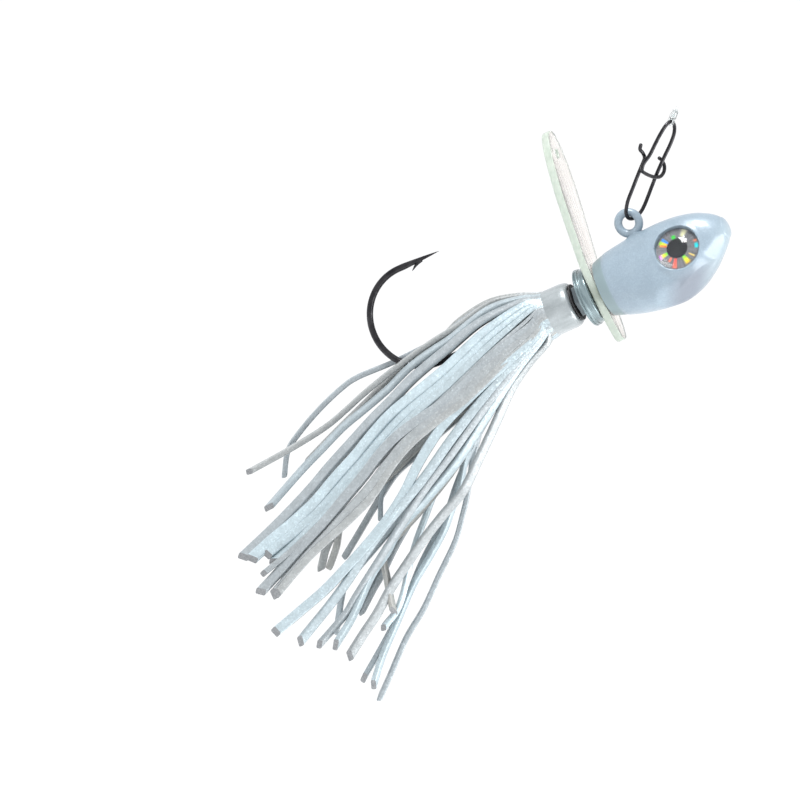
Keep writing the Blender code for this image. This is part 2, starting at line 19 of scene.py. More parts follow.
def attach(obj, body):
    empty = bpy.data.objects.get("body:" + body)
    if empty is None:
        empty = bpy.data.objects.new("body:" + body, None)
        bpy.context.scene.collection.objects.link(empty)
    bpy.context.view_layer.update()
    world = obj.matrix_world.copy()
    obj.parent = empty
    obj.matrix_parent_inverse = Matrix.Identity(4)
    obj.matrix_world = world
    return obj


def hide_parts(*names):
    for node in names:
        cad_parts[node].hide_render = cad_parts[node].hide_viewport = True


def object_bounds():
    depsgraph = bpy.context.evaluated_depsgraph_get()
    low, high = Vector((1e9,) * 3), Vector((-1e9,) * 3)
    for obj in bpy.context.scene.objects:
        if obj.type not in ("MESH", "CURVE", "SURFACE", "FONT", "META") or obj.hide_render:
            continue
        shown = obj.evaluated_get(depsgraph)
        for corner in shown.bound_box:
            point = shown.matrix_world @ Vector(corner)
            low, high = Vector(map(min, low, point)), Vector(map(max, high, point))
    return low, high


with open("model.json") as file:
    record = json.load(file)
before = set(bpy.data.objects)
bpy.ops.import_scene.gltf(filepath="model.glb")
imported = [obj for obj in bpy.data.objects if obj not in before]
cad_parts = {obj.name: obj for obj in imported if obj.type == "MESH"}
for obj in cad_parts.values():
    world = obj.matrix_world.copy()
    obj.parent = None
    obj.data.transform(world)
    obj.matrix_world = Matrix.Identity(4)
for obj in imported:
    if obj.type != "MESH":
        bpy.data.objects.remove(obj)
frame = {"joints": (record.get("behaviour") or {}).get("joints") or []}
cad_low, cad_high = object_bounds()

MM = 0.001
JOINTS = {joint["name"]: joint for joint in frame["joints"]}


def placed(origin, along, across):
    """A right-handed frame with +X and +Y along the given directions."""
    up = along.cross(across)
    turn = Matrix((along, across, up)).transposed().to_4x4()
    return Matrix.Translation(origin) @ turn


ALONG = Vector(JOINTS["blade_spin"]["axis"]).normalized()
ACROSS = Vector(JOINTS["lure_swing"]["axis"]).normalized()
UP = ALONG.cross(ACROSS)
SHAFT = placed(Vector(JOINTS["blade_spin"]["pos_m"]), ALONG, ACROSS)
SNAP_ACROSS = Vector(JOINTS["snap_swing"]["axis"]).normalized()
SNAP = placed(Vector(JOINTS["snap_swing"]["pos_m"]), SNAP_ACROSS, Vector((0.0, 0.0, 1.0)).cross(SNAP_ACROSS))

# Sizes shared with the frame, in millimetres
RING_X, RING_Z = 11.2, 8.9
RING_RADIUS, RING_WIRE = 1.85, 1.30
HOOK_WIRE = 1.15
HEEL_RADIUS = 1.6
BEND_X, BEND_RADIUS = -29.6, 8.8
POINT_X = -21.8
LENS_X, LENS_Y, LENS_Z = 18.3, 4.0, 1.35
LENS_RADIUS = 3.75
LENS_TILT, LENS_TOE = math.radians(27.0), math.radians(9.0)
HEAD_SKEW = 0.22
CAP_DEPTH = 0.65
BLADE_X, BLADE_THICKNESS = 1.78, 1.4
BLADE_BEND_Z, BLADE_BEND = 5.2, math.radians(6.1)
BUSH_RADIUS = 1.6
KNOT_HEIGHT = 2.6
SNAP_WIRE, SNAP_LENGTH, SNAP_LAP = 0.65, 18.4, 0.37
SKIRT_FRONT, SLEEVE_RADIUS = -3.15, 4.05

# ---------------------------------------------------------------- camera

CAMERA_DISTANCE = 2.5
CAMERA_YAW = math.asin(0.267)          # towards the nose
IMAGE_ROLL = math.atan2(0.40, 0.916)   # the shaft's slope in the picture
FRAME_WIDTH = 0.1383                   # what the picture spans at the lure
AIM_X, AIM_Z = -38.84, -3.27           # the picture's middle, in the shaft frame


def make_camera():
    """The camera, on the lure's near side and a little towards its nose."""
    towards = (ALONG * math.sin(CAMERA_YAW) - ACROSS * math.cos(CAMERA_YAW)).normalized()
    along_seen = ALONG * math.cos(CAMERA_YAW) + ACROSS * math.sin(CAMERA_YAW)
    right = along_seen * math.cos(IMAGE_ROLL) - UP * math.sin(IMAGE_ROLL)
    up = along_seen * math.sin(IMAGE_ROLL) + UP * math.cos(IMAGE_ROLL)
    aim = SHAFT @ Vector((AIM_X * MM, 0.0, AIM_Z * MM))
    lens = bpy.data.cameras.new("photo_camera")
    lens.sensor_width = 36.0
    lens.lens = lens.sensor_width * CAMERA_DISTANCE / FRAME_WIDTH
    lens.clip_start, lens.clip_end = 0.05, 200.0
    camera = bpy.data.objects.new("photo_camera", lens)
    turn = Matrix((right, up, towards)).transposed().to_4x4()
    camera.matrix_world = Matrix.Translation(aim + towards * CAMERA_DISTANCE) @ turn
    bpy.context.scene.collection.objects.link(camera)
    bpy.context.scene.camera = camera
    return aim, right, up, towards


VIEW_AIM, VIEW_RIGHT, VIEW_UP, VIEW_TOWARDS = make_camera()


# ---------------------------------------------------------------- materials

class Shader:
    """A Principled material and short calls for the nodes that feed it."""

    def __init__(self, name, **sockets):
        self.material = bpy.data.materials.new(name)
        self.material.use_nodes = True
        self.tree = self.material.node_tree
        self.main = self.tree.nodes["Principled BSDF"]
        found = self.tree.nodes.new("ShaderNodeTexCoord").outputs["Object"]
        back = SHAFT.inverted()
        self.place = self.node(
            "Mapping", {"Vector": found, "Location": back.translation, "Rotation": back.to_euler()}
        ).outputs["Vector"]
        for socket, value in sockets.items():
            self.set(socket.replace("_", " "), value)

    def set(self, socket, value):
        """Sets a socket by its name in lower case, or links an output to it."""
        found = next(s for s in self.main.inputs if s.name.lower() == socket)
        if isinstance(value, bpy.types.NodeSocket):
            self.tree.links.new(value, found)
        elif isinstance(value, tuple) and len(value) == 3 and found.type == "RGBA":
            found.default_value = (*value, 1.0)
        else:
            found.default_value = value

    def node(self, kind, inputs=None, **settings):
        """Adds a node, sets its properties, and fills or links its inputs."""
        made = self.tree.nodes.new("ShaderNode" + kind)
        for name, value in settings.items():
            setattr(made, name, value)
        for socket, value in (inputs or {}).items():
            if isinstance(value, bpy.types.NodeSocket):
                self.tree.links.new(value, made.inputs[socket])
            else:
                made.inputs[socket].default_value = value
        return made

    def stretched(self, scale):
        """Object coordinates scaled per axis."""
        return self.node("Mapping", {"Vector": self.place, "Scale": scale}).outputs["Vector"]

    def noise(self, size, detail=3.0, rough=0.5, where=None):
        """Soft noise whose features are about size millimetres."""
        made = self.node("TexNoise", {"Vector": where or self.place, "Scale": 1.0 / (size * MM)})
        made.inputs["Detail"].default_value = detail
        made.inputs["Roughness"].default_value = rough
        return made.outputs["Fac"]

    def cells(self, size):
        """Voronoi cells of about size millimetres, each with a colour of its own."""
        return self.node("TexVoronoi", {"Vector": self.place, "Scale": 1.0 / (size * MM)}).outputs["Color"]

    def ramp(self, value, stops):
        """Colours at places from 0 to 1."""
        made = self.node("ValToRGB", {"Fac": value})
        line = made.color_ramp.elements
        while len(line) < len(stops):
            line.new(0.5)
        for element, (at, colour) in zip(line, stops):
            element.position = at
            element.color = (*colour, 1.0) if isinstance(colour, tuple) else (colour, colour, colour, 1.0)
        return made.outputs["Color"]

    def span(self, value, low, high, to_low=0.0, to_high=1.0):
        """Maps a value's range to another one, smoothly and clamped."""
        inputs = {"Value": value, "From Min": low, "From Max": high, "To Min": to_low, "To Max": to_high}
        return self.node("MapRange", inputs, interpolation_type="SMOOTHSTEP").outputs["Result"]

    def tone(self, value, dark, light, low=0.3, high=0.7):
        """The base colour, from dark to light as a value rises."""
        self.set("base color", self.ramp(value, [(low, dark), (high, light)]))

    def gloss(self, value, smooth, rough, low=0.3, high=0.7):
        """The roughness, which rises with a value."""
        self.set("roughness", self.span(value, low, high, smooth, rough))

    def maths(self, operation, a, b):
        """One arithmetic step."""
        return self.node("Math", {0: a, 1: b}, operation=operation).outputs[0]

    def mix(self, share, a, b, blend="MIX"):
        """Mixes two colours."""
        made = self.node("Mix", data_type="RGBA", blend_type=blend)
        sockets = [s for s in made.inputs if s.type == "RGBA"]
        for socket, value in zip([made.inputs[0], *sockets], (share, a, b)):
            if isinstance(value, bpy.types.NodeSocket):
                self.tree.links.new(value, socket)
            elif isinstance(value, tuple):
                socket.default_value = (*value, 1.0)
            else:
                socket.default_value = value
        return next(s for s in made.outputs if s.type == "RGBA")

    def flakes(self, size, tilt):
        """A normal that leans a random way in each flake, for a glitter of small mirrors."""
        colour = self.cells(size)
        centred = self.node("VectorMath", {0: colour, 1: (0.5, 0.5, 0.5)}, operation="SUBTRACT").outputs[0]
        lean = self.node("VectorMath", {0: centred, "Scale": tilt}, operation="SCALE").outputs[0]
        flat = self.node("NewGeometry").outputs["Normal"]
        summed = self.node("VectorMath", {0: flat, 1: lean}, operation="ADD").outputs[0]
        return self.node("VectorMath", {0: summed}, operation="NORMALIZE").outputs[0]

    def bump(self, height, depth):
        """A bump of about depth millimetres."""
        inputs = {"Height": height, "Distance": depth * MM, "Strength": 1.0}
        return self.node("Bump", inputs).outputs["Normal"]


def pearl_coat():
    """The head's bluish pearl paint, with painted shade on the collar, painted shade low on the cheek and a
    painted highlight on the chin facet past the crease.
    """
    shader = Shader("pearl_coat", roughness=0.40, metallic=0.10, coat_weight=0.35, coat_roughness=0.20)
    blues = [(0.3, (0.225, 0.290, 0.345)), (0.55, (0.245, 0.315, 0.375)), (0.8, (0.27, 0.34, 0.395))]
    cloud = shader.ramp(shader.noise(3.6, 4.0, 0.55), blues)
    speck = shader.ramp(shader.cells(0.20), [(0.0, 0.90), (0.65, 1.0), (1.0, 1.12)])
    sparkled = shader.mix(0.7, cloud, speck, "MULTIPLY")
    axes = shader.node("SeparateXYZ", {"Vector": shader.place})
    # painted shade: the collar is darkened to grey-green where it turns away from the light
    collar = shader.span(axes.outputs["X"], 4.35 * MM, 4.75 * MM, 1.0, 0.0)
    collar_painted_shade = shader.mix(collar, sparkled, (0.185, 0.250, 0.268))
    # painted light and shade: the chin facet past the crease is made paler where light falls on it, the low
    # cheek darker where it faces down into shade
    across_crease = {0: shader.place, 1: (0.741, 0.0, -0.671)}
    past = shader.node("VectorMath", across_crease, operation="DOT_PRODUCT").outputs["Value"]
    facet_painted_light = shader.span(past, 16.9 * MM, 20.4 * MM, 0.0, 0.75)
    cheek = shader.span(past, 12.5 * MM, 16.0 * MM)
    low_down = shader.span(axes.outputs["Z"], -4.5 * MM, -1.5 * MM, 0.85, 0.0)
    # painted shade on the low cheek, then a painted highlight over the chin facet
    cheek_painted_shade = shader.mix(shader.maths("MULTIPLY", cheek, low_down), collar_painted_shade, (0.165, 0.185, 0.225))
    shader.set("base color", shader.mix(facet_painted_light, cheek_painted_shade, (0.35, 0.43, 0.47)))
    shader.set("normal", shader.flakes(0.20, 0.10))
    shader.set("coat normal", shader.bump(shader.noise(1.6, 2.0), 0.010))
    return shader.material


def black_nickel():
    """Dark bright-dipped steel wire with fine drawing marks."""
    shader = Shader("black_nickel", metallic=0.92, specular_ior_level=0.5)
    tone = shader.noise(1.4, 4.0)
    shader.tone(tone, (0.020, 0.020, 0.023), (0.050, 0.049, 0.052))
    shader.gloss(shader.noise(0.5, 3.0), 0.16, 0.36, high=0.75)
    shader.set("normal", shader.bump(shader.noise(0.35, 2.0), 0.006))
    return shader.material


def eye_print():
    """The printed foil, with a painted reflection of the lamp among its colours: they are laid on the disc's
    own mesh, under a fine radial brushing.
    """
    shader = Shader("eye_print", metallic=0.2, roughness=0.5, specular_ior_level=0.2)
    printed = shader.node("VertexColor", layer_name="print").outputs["Color"]
    grain = shader.ramp(shader.noise(0.22, 2.0), [(0.3, 0.86), (0.7, 1.10)])
    shader.set("base color", shader.mix(1.0, printed, grain, "MULTIPLY"))
    shader.set("normal", shader.bump(shader.noise(0.3, 2.0), 0.001))
    return shader.material


def clear_resin():
    """The eye's clear dome."""
    shader = Shader("eye_resin", base_color=(0.98, 0.99, 1.0), transmission_weight=1.0, ior=1.33)
    shader.gloss(shader.noise(2.0, 2.0), 0.06, 0.09)
    return shader.material


def blade_face():
    """Clear moulded plastic, faintly warm, with flow lines that run along the blade."""
    shader = Shader("blade_face", transmission_weight=1.0, ior=1.49)
    lines = shader.noise(1.0, 3.0, 0.55, shader.stretched((1.0, 1.0, 0.16)))
    shader.tone(lines, (0.78, 0.72, 0.66), (0.95, 0.915, 0.875), high=0.6)
    shader.gloss(lines, 0.02, 0.12, low=0.35, high=0.75)
    shader.set("normal", shader.bump(lines, 0.10))
    return shader.material


def blade_edge():
    """The blade's cut edge: the same plastic, frosted, so that it gathers a pale green light."""
    shader = Shader("blade_edge", transmission_weight=0.55, ior=1.49)
    grain = shader.noise(0.7, 3.0)
    shader.tone(grain, (0.56, 0.645, 0.565), (0.66, 0.73, 0.65))
    shader.gloss(grain, 0.28, 0.42)
    shader.set("normal", shader.bump(shader.noise(0.4, 2.0), 0.02))
    return shader.material


def collar_metal(name, dark, light, roughness):
    """Grey plated metal with turned marks round the shaft."""
    shader = Shader(name, metallic=0.55, coat_weight=0.5, coat_roughness=0.12)
    marks = shader.noise(0.5, 2.0, 0.5, shader.stretched((1.6, 0.25, 0.25)))
    shader.tone(marks, dark, light)
    shader.gloss(marks, roughness * 0.8, roughness * 1.25)
    shader.set("normal", shader.bump(marks, 0.003))
    return shader.material


def dull_rubber(name, size, dark, light, depth):
    """Matt rubber with a fine grain: the washer's, and the strands' cut ends."""
    shader = Shader(name, roughness=0.6)
    grain = shader.noise(size, 3.0)
    shader.tone(grain, dark, light)
    shader.set("normal", shader.bump(grain, depth))
    return shader.material


def pearl_silicone():
    """The skirt: silicone with a blue-white flake in it, warmer or bluer from strand to strand, and palest
    where a painted highlight band lies along the upper strands.
    """
    shader = Shader("pearl_silicone", metallic=0.25, subsurface_weight=0.08)
    shader.set("coat weight", 0.45)
    shader.set("coat roughness", 0.18)
    shader.set("subsurface radius", (1.0, 0.9, 0.8))
    shader.set("subsurface scale", 0.8 * MM)
    tint = shader.node("Attribute", attribute_name="tint").outputs["Fac"]
    # painted highlight: the palest, bluest stops stand in for the bright band along the bundle's top as well as
    # for blue strands
    warm_to_blue_and_painted_highlight = [
        (0.0, (0.355, 0.36, 0.345)), (0.35, (0.305, 0.335, 0.35)), (0.7, (0.33, 0.38, 0.41)),
        (0.88, (0.36, 0.43, 0.46)), (1.0, (0.43, 0.52, 0.56))
    ]
    body = shader.ramp(tint, warm_to_blue_and_painted_highlight)
    cloud = shader.ramp(shader.noise(2.2, 3.0), [(0.3, 0.91), (0.7, 1.07)])
    toned = shader.mix(1.0, body, cloud, "MULTIPLY")
    speck = shader.ramp(shader.cells(0.24), [(0.0, 0.86), (0.7, 1.0), (1.0, 1.30)])
    shader.set("base color", shader.mix(0.8, toned, speck, "MULTIPLY"))
    shader.set("roughness", shader.span(shader.cells(0.24), 0.0, 1.0, 0.30, 0.48))
    shader.set("normal", shader.flakes(0.24, 0.24))
    return shader.material


def sleeve_silicone():
    """The skirt's sleeve: the same silicone stretched smooth, so that its flake shines like satin."""
    shader = Shader("sleeve_silicone", metallic=0.45, roughness=0.34, coat_weight=0.4, coat_roughness=0.2)
    drawn = shader.noise(1.2, 3.0, 0.5, shader.stretched((0.25, 1.0, 1.0)))
    cloud = shader.ramp(drawn, [(0.3, (0.27, 0.30, 0.31)), (0.7, (0.37, 0.405, 0.42))])
    speck = shader.ramp(shader.cells(0.22), [(0.0, 0.92), (0.7, 1.0), (1.0, 1.15)])
    shader.set("base color", shader.mix(0.7, cloud, speck, "MULTIPLY"))
    shader.set("normal", shader.flakes(0.22, 0.08))
    return shader.material


def clear_line():
    """Clear nylon line."""
    shader = Shader("clear_line", transmission_weight=0.9, ior=1.53)
    grain = shader.noise(0.4, 2.0)
    shader.tone(grain, (0.88, 0.93, 0.93), (0.97, 0.98, 0.98))
    shader.gloss(grain, 0.06, 0.16)
    return shader.material


def floor_paper():
    """Pale matt paper."""
    shader = Shader("floor_paper", roughness=0.9)
    shader.place = shader.node("NewGeometry").outputs["Position"]
    shader.tone(shader.noise(60.0, 2.0), 0.925, 0.94)
    return shader.material


PEARL = pearl_coat()
NICKEL = black_nickel()
PRINT = eye_print()
RESIN = clear_resin()
FACE = blade_face()
EDGE = blade_edge()
FLANGE_METAL = collar_metal("flange_metal", (0.13, 0.18, 0.195), (0.21, 0.275, 0.29), 0.26)
NUT_METAL = collar_metal("nut_metal", (0.055, 0.075, 0.085), (0.11, 0.135, 0.145), 0.32)
BUSH_METAL = collar_metal("bush_metal", (0.55, 0.44, 0.22), (0.68, 0.56, 0.30), 0.30)
KEEPER_METAL = collar_metal("keeper_metal", (0.36, 0.37, 0.39), (0.48, 0.49, 0.51), 0.45)
RUBBER = dull_rubber("black_rubber", 0.3, (0.012, 0.012, 0.013), (0.03, 0.03, 0.03), 0.02)
SILICONE = pearl_silicone()
SLEEVE = sleeve_silicone()
CUT_END = dull_rubber("cut_silicone", 0.35, (0.17, 0.18, 0.19), (0.28, 0.29, 0.30), 0.03)
LINE = clear_line()


# ---------------------------------------------------------------- mesh helpers

def rings_to_faces(rings, count, ends=True):
    """Faces of a skin over closed rings of equally many points, and its two end faces."""
    index = np.arange(rings * count).reshape(rings, count)
    after = np.roll(index, -1, axis=1)
    quads = np.stack([index[:-1], after[:-1], after[1:], index[1:]], axis=-1).reshape(-1, 4).tolist()
    if ends:
        quads.append(index[0, ::-1].tolist())
        quads.append(index[-1].tolist())
    return quads


def closed_skin(rings, count):
    """Faces of a skin that closes on itself both ways, over closed rings of equally many points."""
    index = np.arange(rings * count).reshape(rings, count)
    beside = np.roll(index, -1, axis=1)
    quads = np.stack([index, beside, np.roll(beside, -1, axis=0), np.roll(index, -1, axis=0)], axis=-1)
    return quads.reshape(-1, 4).tolist()


def frames_along(points, start_normal):
    """Two unit vectors across a path at each of its points, carried along it without twisting."""
    tangents = np.gradient(points, axis=0)
    tangents /= np.linalg.norm(tangents, axis=1)[:, None]
    normal = np.array(start_normal, float)
    normals = []
    for tangent in tangents:
        normal = normal - tangent * (normal @ tangent)
        normal /= np.linalg.norm(normal)
        normals.append(normal)
    normals = np.array(normals)
    return normals, np.cross(tangents, normals)


def sweep(points, outline, scale=None, twist=None, start_normal=(0.0, 1.0, 0.0)):
    """Rings of an outline of (along normal, across it) points, carried along a path."""
    points = np.array(points, float)
    normals, sides = frames_along(points, start_normal)
    outline = np.array(outline, float)
    scale = np.ones((len(points), 2)) if scale is None else np.array(scale, float)
    twist = np.zeros(len(points)) if twist is None else np.array(twist, float)
    cos, sin = np.cos(twist)[:, None], np.sin(twist)[:, None]
    a = outline[None, :, 0] * scale[:, :1]
    b = outline[None, :, 1] * scale[:, 1:]
    along_normal = (a * cos - b * sin)[..., None] * normals[:, None]
    return points[:, None] + along_normal + (a * sin + b * cos)[..., None] * sides[:, None]


def circle(radius, count):
    """Points of a circle."""
    angles = np.arange(count) * 2 * math.pi / count
    return np.stack([radius * np.cos(angles), radius * np.sin(angles)], axis=-1)


def hoop(radius, angles, height):
    """Points of a circle about Z at a height."""
    return np.stack([radius * np.cos(angles), radius * np.sin(angles), 0 * angles + height], axis=-1)


def smooth_path(points, step):
    """Points about step apart along a Catmull-Rom curve through the given ones."""
    points = [np.array(p, float) for p in points]
    ends = [2 * points[0] - points[1], *points, 2 * points[-1] - points[-2]]
    path = []
    for p0, p1, p2, p3 in zip(ends, ends[1:], ends[2:], ends[3:]):
        count = max(1, round(np.linalg.norm(p2 - p1) / step))
        for k in range(count):
            t = k / count
            path.append(
                0.5 * (2 * p1 + (p2 - p0) * t + (2 * p0 - 5 * p1 + 4 * p2 - p3) * t**2
                       + (3 * p1 - p0 - 3 * p2 + p3) * t**3)
            )
    path.append(points[-1])
    return np.array(path)


def arc(centre, radius, start, end, count):
    """Points of an arc in the XZ plane, angles in degrees from +X towards +Z."""
    angles = np.radians(np.linspace(start, end, count + 1))
    return [(centre[0] + radius * math.cos(a), 0.0, centre[1] + radius * math.sin(a)) for a in angles]


def piece(name, verts, faces, home, materials, body, nodes=(), sharp=40.0):
    """Makes a piece from points in millimetres, shades it smooth and hangs it on its body."""
    mesh = bpy.data.meshes.new(name)
    mesh.from_pydata((np.array(verts, float) * MM).tolist(), [], faces)
    shape = bmesh.new()
    shape.from_mesh(mesh)
    bmesh.ops.recalc_face_normals(shape, faces=shape.faces)
    shape.to_mesh(mesh)
    shape.free()
    return dress(name, mesh, home, materials, body, nodes, sharp)


def dress(name, mesh, home, materials, body, nodes=(), sharp=40.0):
    """Links a mesh as a piece with its materials, body and the nodes that it stands for."""
    for each in materials:
        mesh.materials.append(each)
    mesh.transform(home)
    mesh.shade_smooth()
    mesh.set_sharp_from_angle(angle=math.radians(sharp))
    made = bpy.data.objects.new(name, mesh)
    bpy.context.scene.collection.objects.link(made)
    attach(made, body)
    if nodes:
        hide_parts(*nodes)
    return made


def turned(name, profile, steps, material_used, nodes):
    """A ring turned about the shaft from a closed outline of (x, radius) points."""
    profile = np.array(profile, float)
    angles = np.arange(steps) * 2 * math.pi / steps
    verts = np.stack([
        np.broadcast_to(profile[None, :, 0], (steps, len(profile))),
        np.sin(angles)[:, None] * profile[None, :, 1],
        np.cos(angles)[:, None] * profile[None, :, 1],
    ], axis=-1)
    faces = closed_skin(steps, len(profile))
    return piece(name, verts.reshape(-1, 3), faces, SHAFT, [material_used], "lure", nodes)


def wire(points, radius, sides, shares=None, start_normal=(0.0, 1.0, 0.0)):
    """A round wire with softly rounded ends, as points and faces."""
    points = np.array(points, float)
    shares = np.ones(len(points)) if shares is None else np.array(shares, float)
    first, last = points[0] - points[1], points[-1] - points[-2]
    first /= np.linalg.norm(first)
    last /= np.linalg.norm(last)
    steps = np.array([0.25, 0.55, 0.85])
    rise, shrink = 1 - np.cos(steps * math.pi / 2), np.sqrt(1 - (1 - np.cos(steps * math.pi / 2)) ** 2)
    head = points[0] + first * (radius * shares[0] * np.sin(steps * math.pi / 2))[::-1, None]
    tail = points[-1] + last * (radius * shares[-1] * np.sin(steps * math.pi / 2))[:, None]
    path = np.vstack([head, points, tail])
    cap = np.cos(steps * math.pi / 2)
    scale = np.concatenate([shares[0] * cap[::-1], shares, shares[-1] * cap])
    rings = sweep(path, circle(radius, sides), np.stack([scale, scale], axis=-1), start_normal=start_normal)
    return rings.reshape(-1, 3), rings_to_faces(len(path), sides)


def merged(groups):
    """Joins several (points, faces) into one."""
    verts, faces, first = [], [], 0
    for points, skin in groups:
        verts.append(np.array(points, float).reshape(-1, 3))
        faces += [[i + first for i in face] for face in skin]
        first += len(verts[-1])
    return np.vstack(verts), faces


# ---------------------------------------------------------------- line and snap

def make_line_knot():
    """The knot: a loop round the snap's wire, wraps round the standing line, and the clipped tail."""
    line = 0.21
    reach = SNAP_WIRE / 2 + line
    opening = 0.25
    round_snap = np.linspace(opening, 2 * math.pi - opening, 25)
    loop = [(0.06 * math.sin(a), reach * math.sin(a), reach * math.cos(a)) for a in round_snap]
    wraps = []
    turns, coil = 4, 0.42
    for share in np.linspace(0, 1, turns * 14 + 1):
        angle = share * turns * 2 * math.pi
        wraps.append((coil * math.cos(angle), coil * math.sin(angle), 0.50 + share * 1.30))
    tail = smooth_path([wraps[-1], (0.75, 0.30, 1.75), (1.0, 0.75, 1.55), (1.15, 1.2, 1.85)], 0.1)
    standing = smooth_path([(0.0, 0.05, 0.45), (0.0, 0.0, 1.2), (0.0, 0.0, KNOT_HEIGHT)], 0.15)
    crown = [(0.28 * math.cos(a), 0.28 * math.sin(a), 1.98) for a in np.linspace(0, 2 * math.pi * 0.96, 20)]
    groups = [
        wire(loop, line, 12, start_normal=(1, 0, 0)), wire(wraps, line, 12, start_normal=(0, 0, 1)),
        wire(tail, line, 12, start_normal=(0, 0, 1)), wire(standing, line, 12, start_normal=(1, 0, 0)),
        wire(crown, line, 12, start_normal=(0, 0, 1)),
    ]
    verts, faces = merged(groups)
    piece("line_knot_wraps", verts, faces, SNAP, [LINE], "line", ["line_knot"])


def make_snap():
    """One bent wire: (across, out of plane, down) of each point, from the free curl to the latch."""
    lap, low = SNAP_LAP, SNAP_LENGTH
    route = [
        (-4.7, lap + 0.5, 5.2), (-4.3, lap + 0.55, 6.0), (-3.5, lap + 0.25, 6.5), (-2.75, lap, 7.3),
        (-2.65, lap, 8.8), (-2.8, lap * 0.7, 10.6), (-3.1, 0.0, 13.4), (-2.95, 0.0, 15.4),
        (-2.2, 0.0, 17.2), (-1.1, 0.0, low - 0.25), (0.0, 0.0, low), (1.1, 0.0, low - 0.25), (2.1, 0.0, 17.2),
        (2.5, 0.0, 15.6), (2.35, 0.0, 12.0), (2.25, 0.0, 9.7), (2.35, 0.0, 6.8), (2.6, 0.0, 4.0),
        (2.35, 0.0, 2.0), (1.35, 0.0, 0.55), (0.0, 0.0, 0.0), (-1.0, 0.0, 0.75), (-1.6, 0.0, 2.4),
        (-2.3, -lap * 0.6, 4.4), (-2.95, -lap - 0.1, 6.4), (-3.65, -lap - 0.1, 7.9), (-3.4, -lap - 0.1, 9.2),
        (-2.2, -lap - 0.1, 9.7), (0.1, -0.5, 10.1), (1.5, -0.68, 10.1), (2.5, -0.78, 9.8),
        (3.4, -0.45, 9.0), (3.65, 0.1, 8.1), (3.1, 0.66, 7.4), (2.3, 0.78, 7.1),
    ]
    path = smooth_path([(across, out, -down) for across, out, down in route], 0.22)
    verts, faces = wire(path, SNAP_WIRE / 2, 16)
    piece("snap_bent_wire", verts, faces, SNAP, [NICKEL], "snap", ["snap_wire"])


# ---------------------------------------------------------------- hook

def make_hook():
    """The dark wire of the hook: shank, round bend, ground point and its barb."""
    z = 2 * BEND_RADIUS
    heel = arc((RING_X - HEEL_RADIUS, HEEL_RADIUS), HEEL_RADIUS, 0, -90, 10)
    bend = arc((BEND_X, BEND_RADIUS), BEND_RADIUS, 270, 90, 72)
    shank = [(x, 0.0, 0.0) for x in np.linspace(RING_X - HEEL_RADIUS - 1.0, BEND_X + 0.5, 60)]
    post = [(RING_X, 0.0, t) for t in np.linspace(RING_Z - RING_RADIUS, HEEL_RADIUS + 0.4, 8)]
    straight = [(x, 0.0, z) for x in np.linspace(BEND_X + 0.25, POINT_X, 48)]
    path = np.array([*post, *heel, *shank, *bend, *straight])
    taper = np.clip((POINT_X - np.array([p[0] for p in straight])) / 6.8, 0.03, 1.0) ** 0.75
    shares = np.concatenate([np.ones(len(path) - len(straight)), taper])
    body = wire(path, HOOK_WIRE / 2, 24, shares)
    barb_route = smooth_path([(-25.3, 0.0, z - 0.12), (-26.4, 0.0, z - 0.55), (-27.6, 0.0, z - 1.30)], 0.12)
    along = np.linspace(0, 1, len(barb_route))
    barb_scale = np.stack([0.95 - 0.85 * along, 1.15 * (1 - along) ** 0.7 + 0.05], axis=-1)
    outline = circle(0.34, 12)
    rings = sweep(barb_route, outline, barb_scale)
    barb = (rings.reshape(-1, 3), rings_to_faces(len(barb_route), 12))
    verts, faces = merged([body, barb])
    piece("hook_wire", verts, faces, SHAFT, [NICKEL], "lure", ["hook"])


# ---------------------------------------------------------------- head and its eye

def head_stations():
    """Cross-sections from the collar to the snout: x, top, bottom, half width and squareness."""
    stations = np.array([
        (2.7, 5.05, -4.85, 4.80, 2.0), (3.9, 5.45, -5.25, 4.95, 2.0), (5.3, 5.85, -5.75, 5.10, 2.1),
        (8.2, 6.30, -6.60, 5.45, 2.2), (11.9, 6.70, -7.25, 5.65, 2.3), (15.5, 6.90, -7.40, 5.55, 2.4),
        (19.1, 6.70, -6.35, 5.05, 2.5), (22.2, 6.05, -4.50, 4.35, 2.5), (24.4, 5.10, -2.65, 3.60, 2.3),
        (25.8, 4.20, -1.25, 2.80, 2.1), (26.5, 3.50, -0.35, 2.15, 2.0),
    ])
    fine = []
    steps = 15
    for k in range(len(stations) - 1):
        before = stations[max(k - 1, 0)]
        after = stations[min(k + 2, len(stations) - 1)]
        a, b = stations[k], stations[k + 1]
        slope_a, slope_b = (b - before) / 2, (after - a) / 2
        for t in np.arange(steps) / steps:
            fine.append(
                (2 * t**3 - 3 * t**2 + 1) * a + (t**3 - 2 * t**2 + t) * slope_a
                + (3 * t**2 - 2 * t**3) * b + (t**3 - t**2) * slope_b
            )
    x, top, bottom, half, square = stations[-1]
    middle = (top + bottom) / 2
    for angle in np.radians((0, 12, 24, 36, 48, 60, 72, 84)):
        share = math.cos(angle)
        high, low = middle + (top - middle) * share, middle + (bottom - middle) * share
        fine.append(np.array([x + CAP_DEPTH * math.sin(angle), high, low, half * share, square]))
    return np.array(fine)


def lens_seat(side):
    """The middle of a cheek's seat, its outward normal, and a turn that carries +Z to the normal."""
    middle = Vector((LENS_X, side * LENS_Y, LENS_Z))
    level = math.cos(LENS_TILT)
    outward = Vector((math.sin(LENS_TOE) * level, side * math.cos(LENS_TOE) * level, math.sin(LENS_TILT)))
    return middle, outward, outward.to_track_quat("Z", "Y")


def soft_least(a, b, blend):
    """The smaller of two values, rounded where they cross."""
    share = np.clip(0.5 + (b - a) / (2 * blend), 0, 1)
    return b * (1 - share) + a * share - blend * share * (1 - share)


def step_up(value, low, high):
    """0 below low, 1 above high, smooth between."""
    t = np.clip((value - low) / (high - low), 0, 1)
    return t * t * (3 - 2 * t)


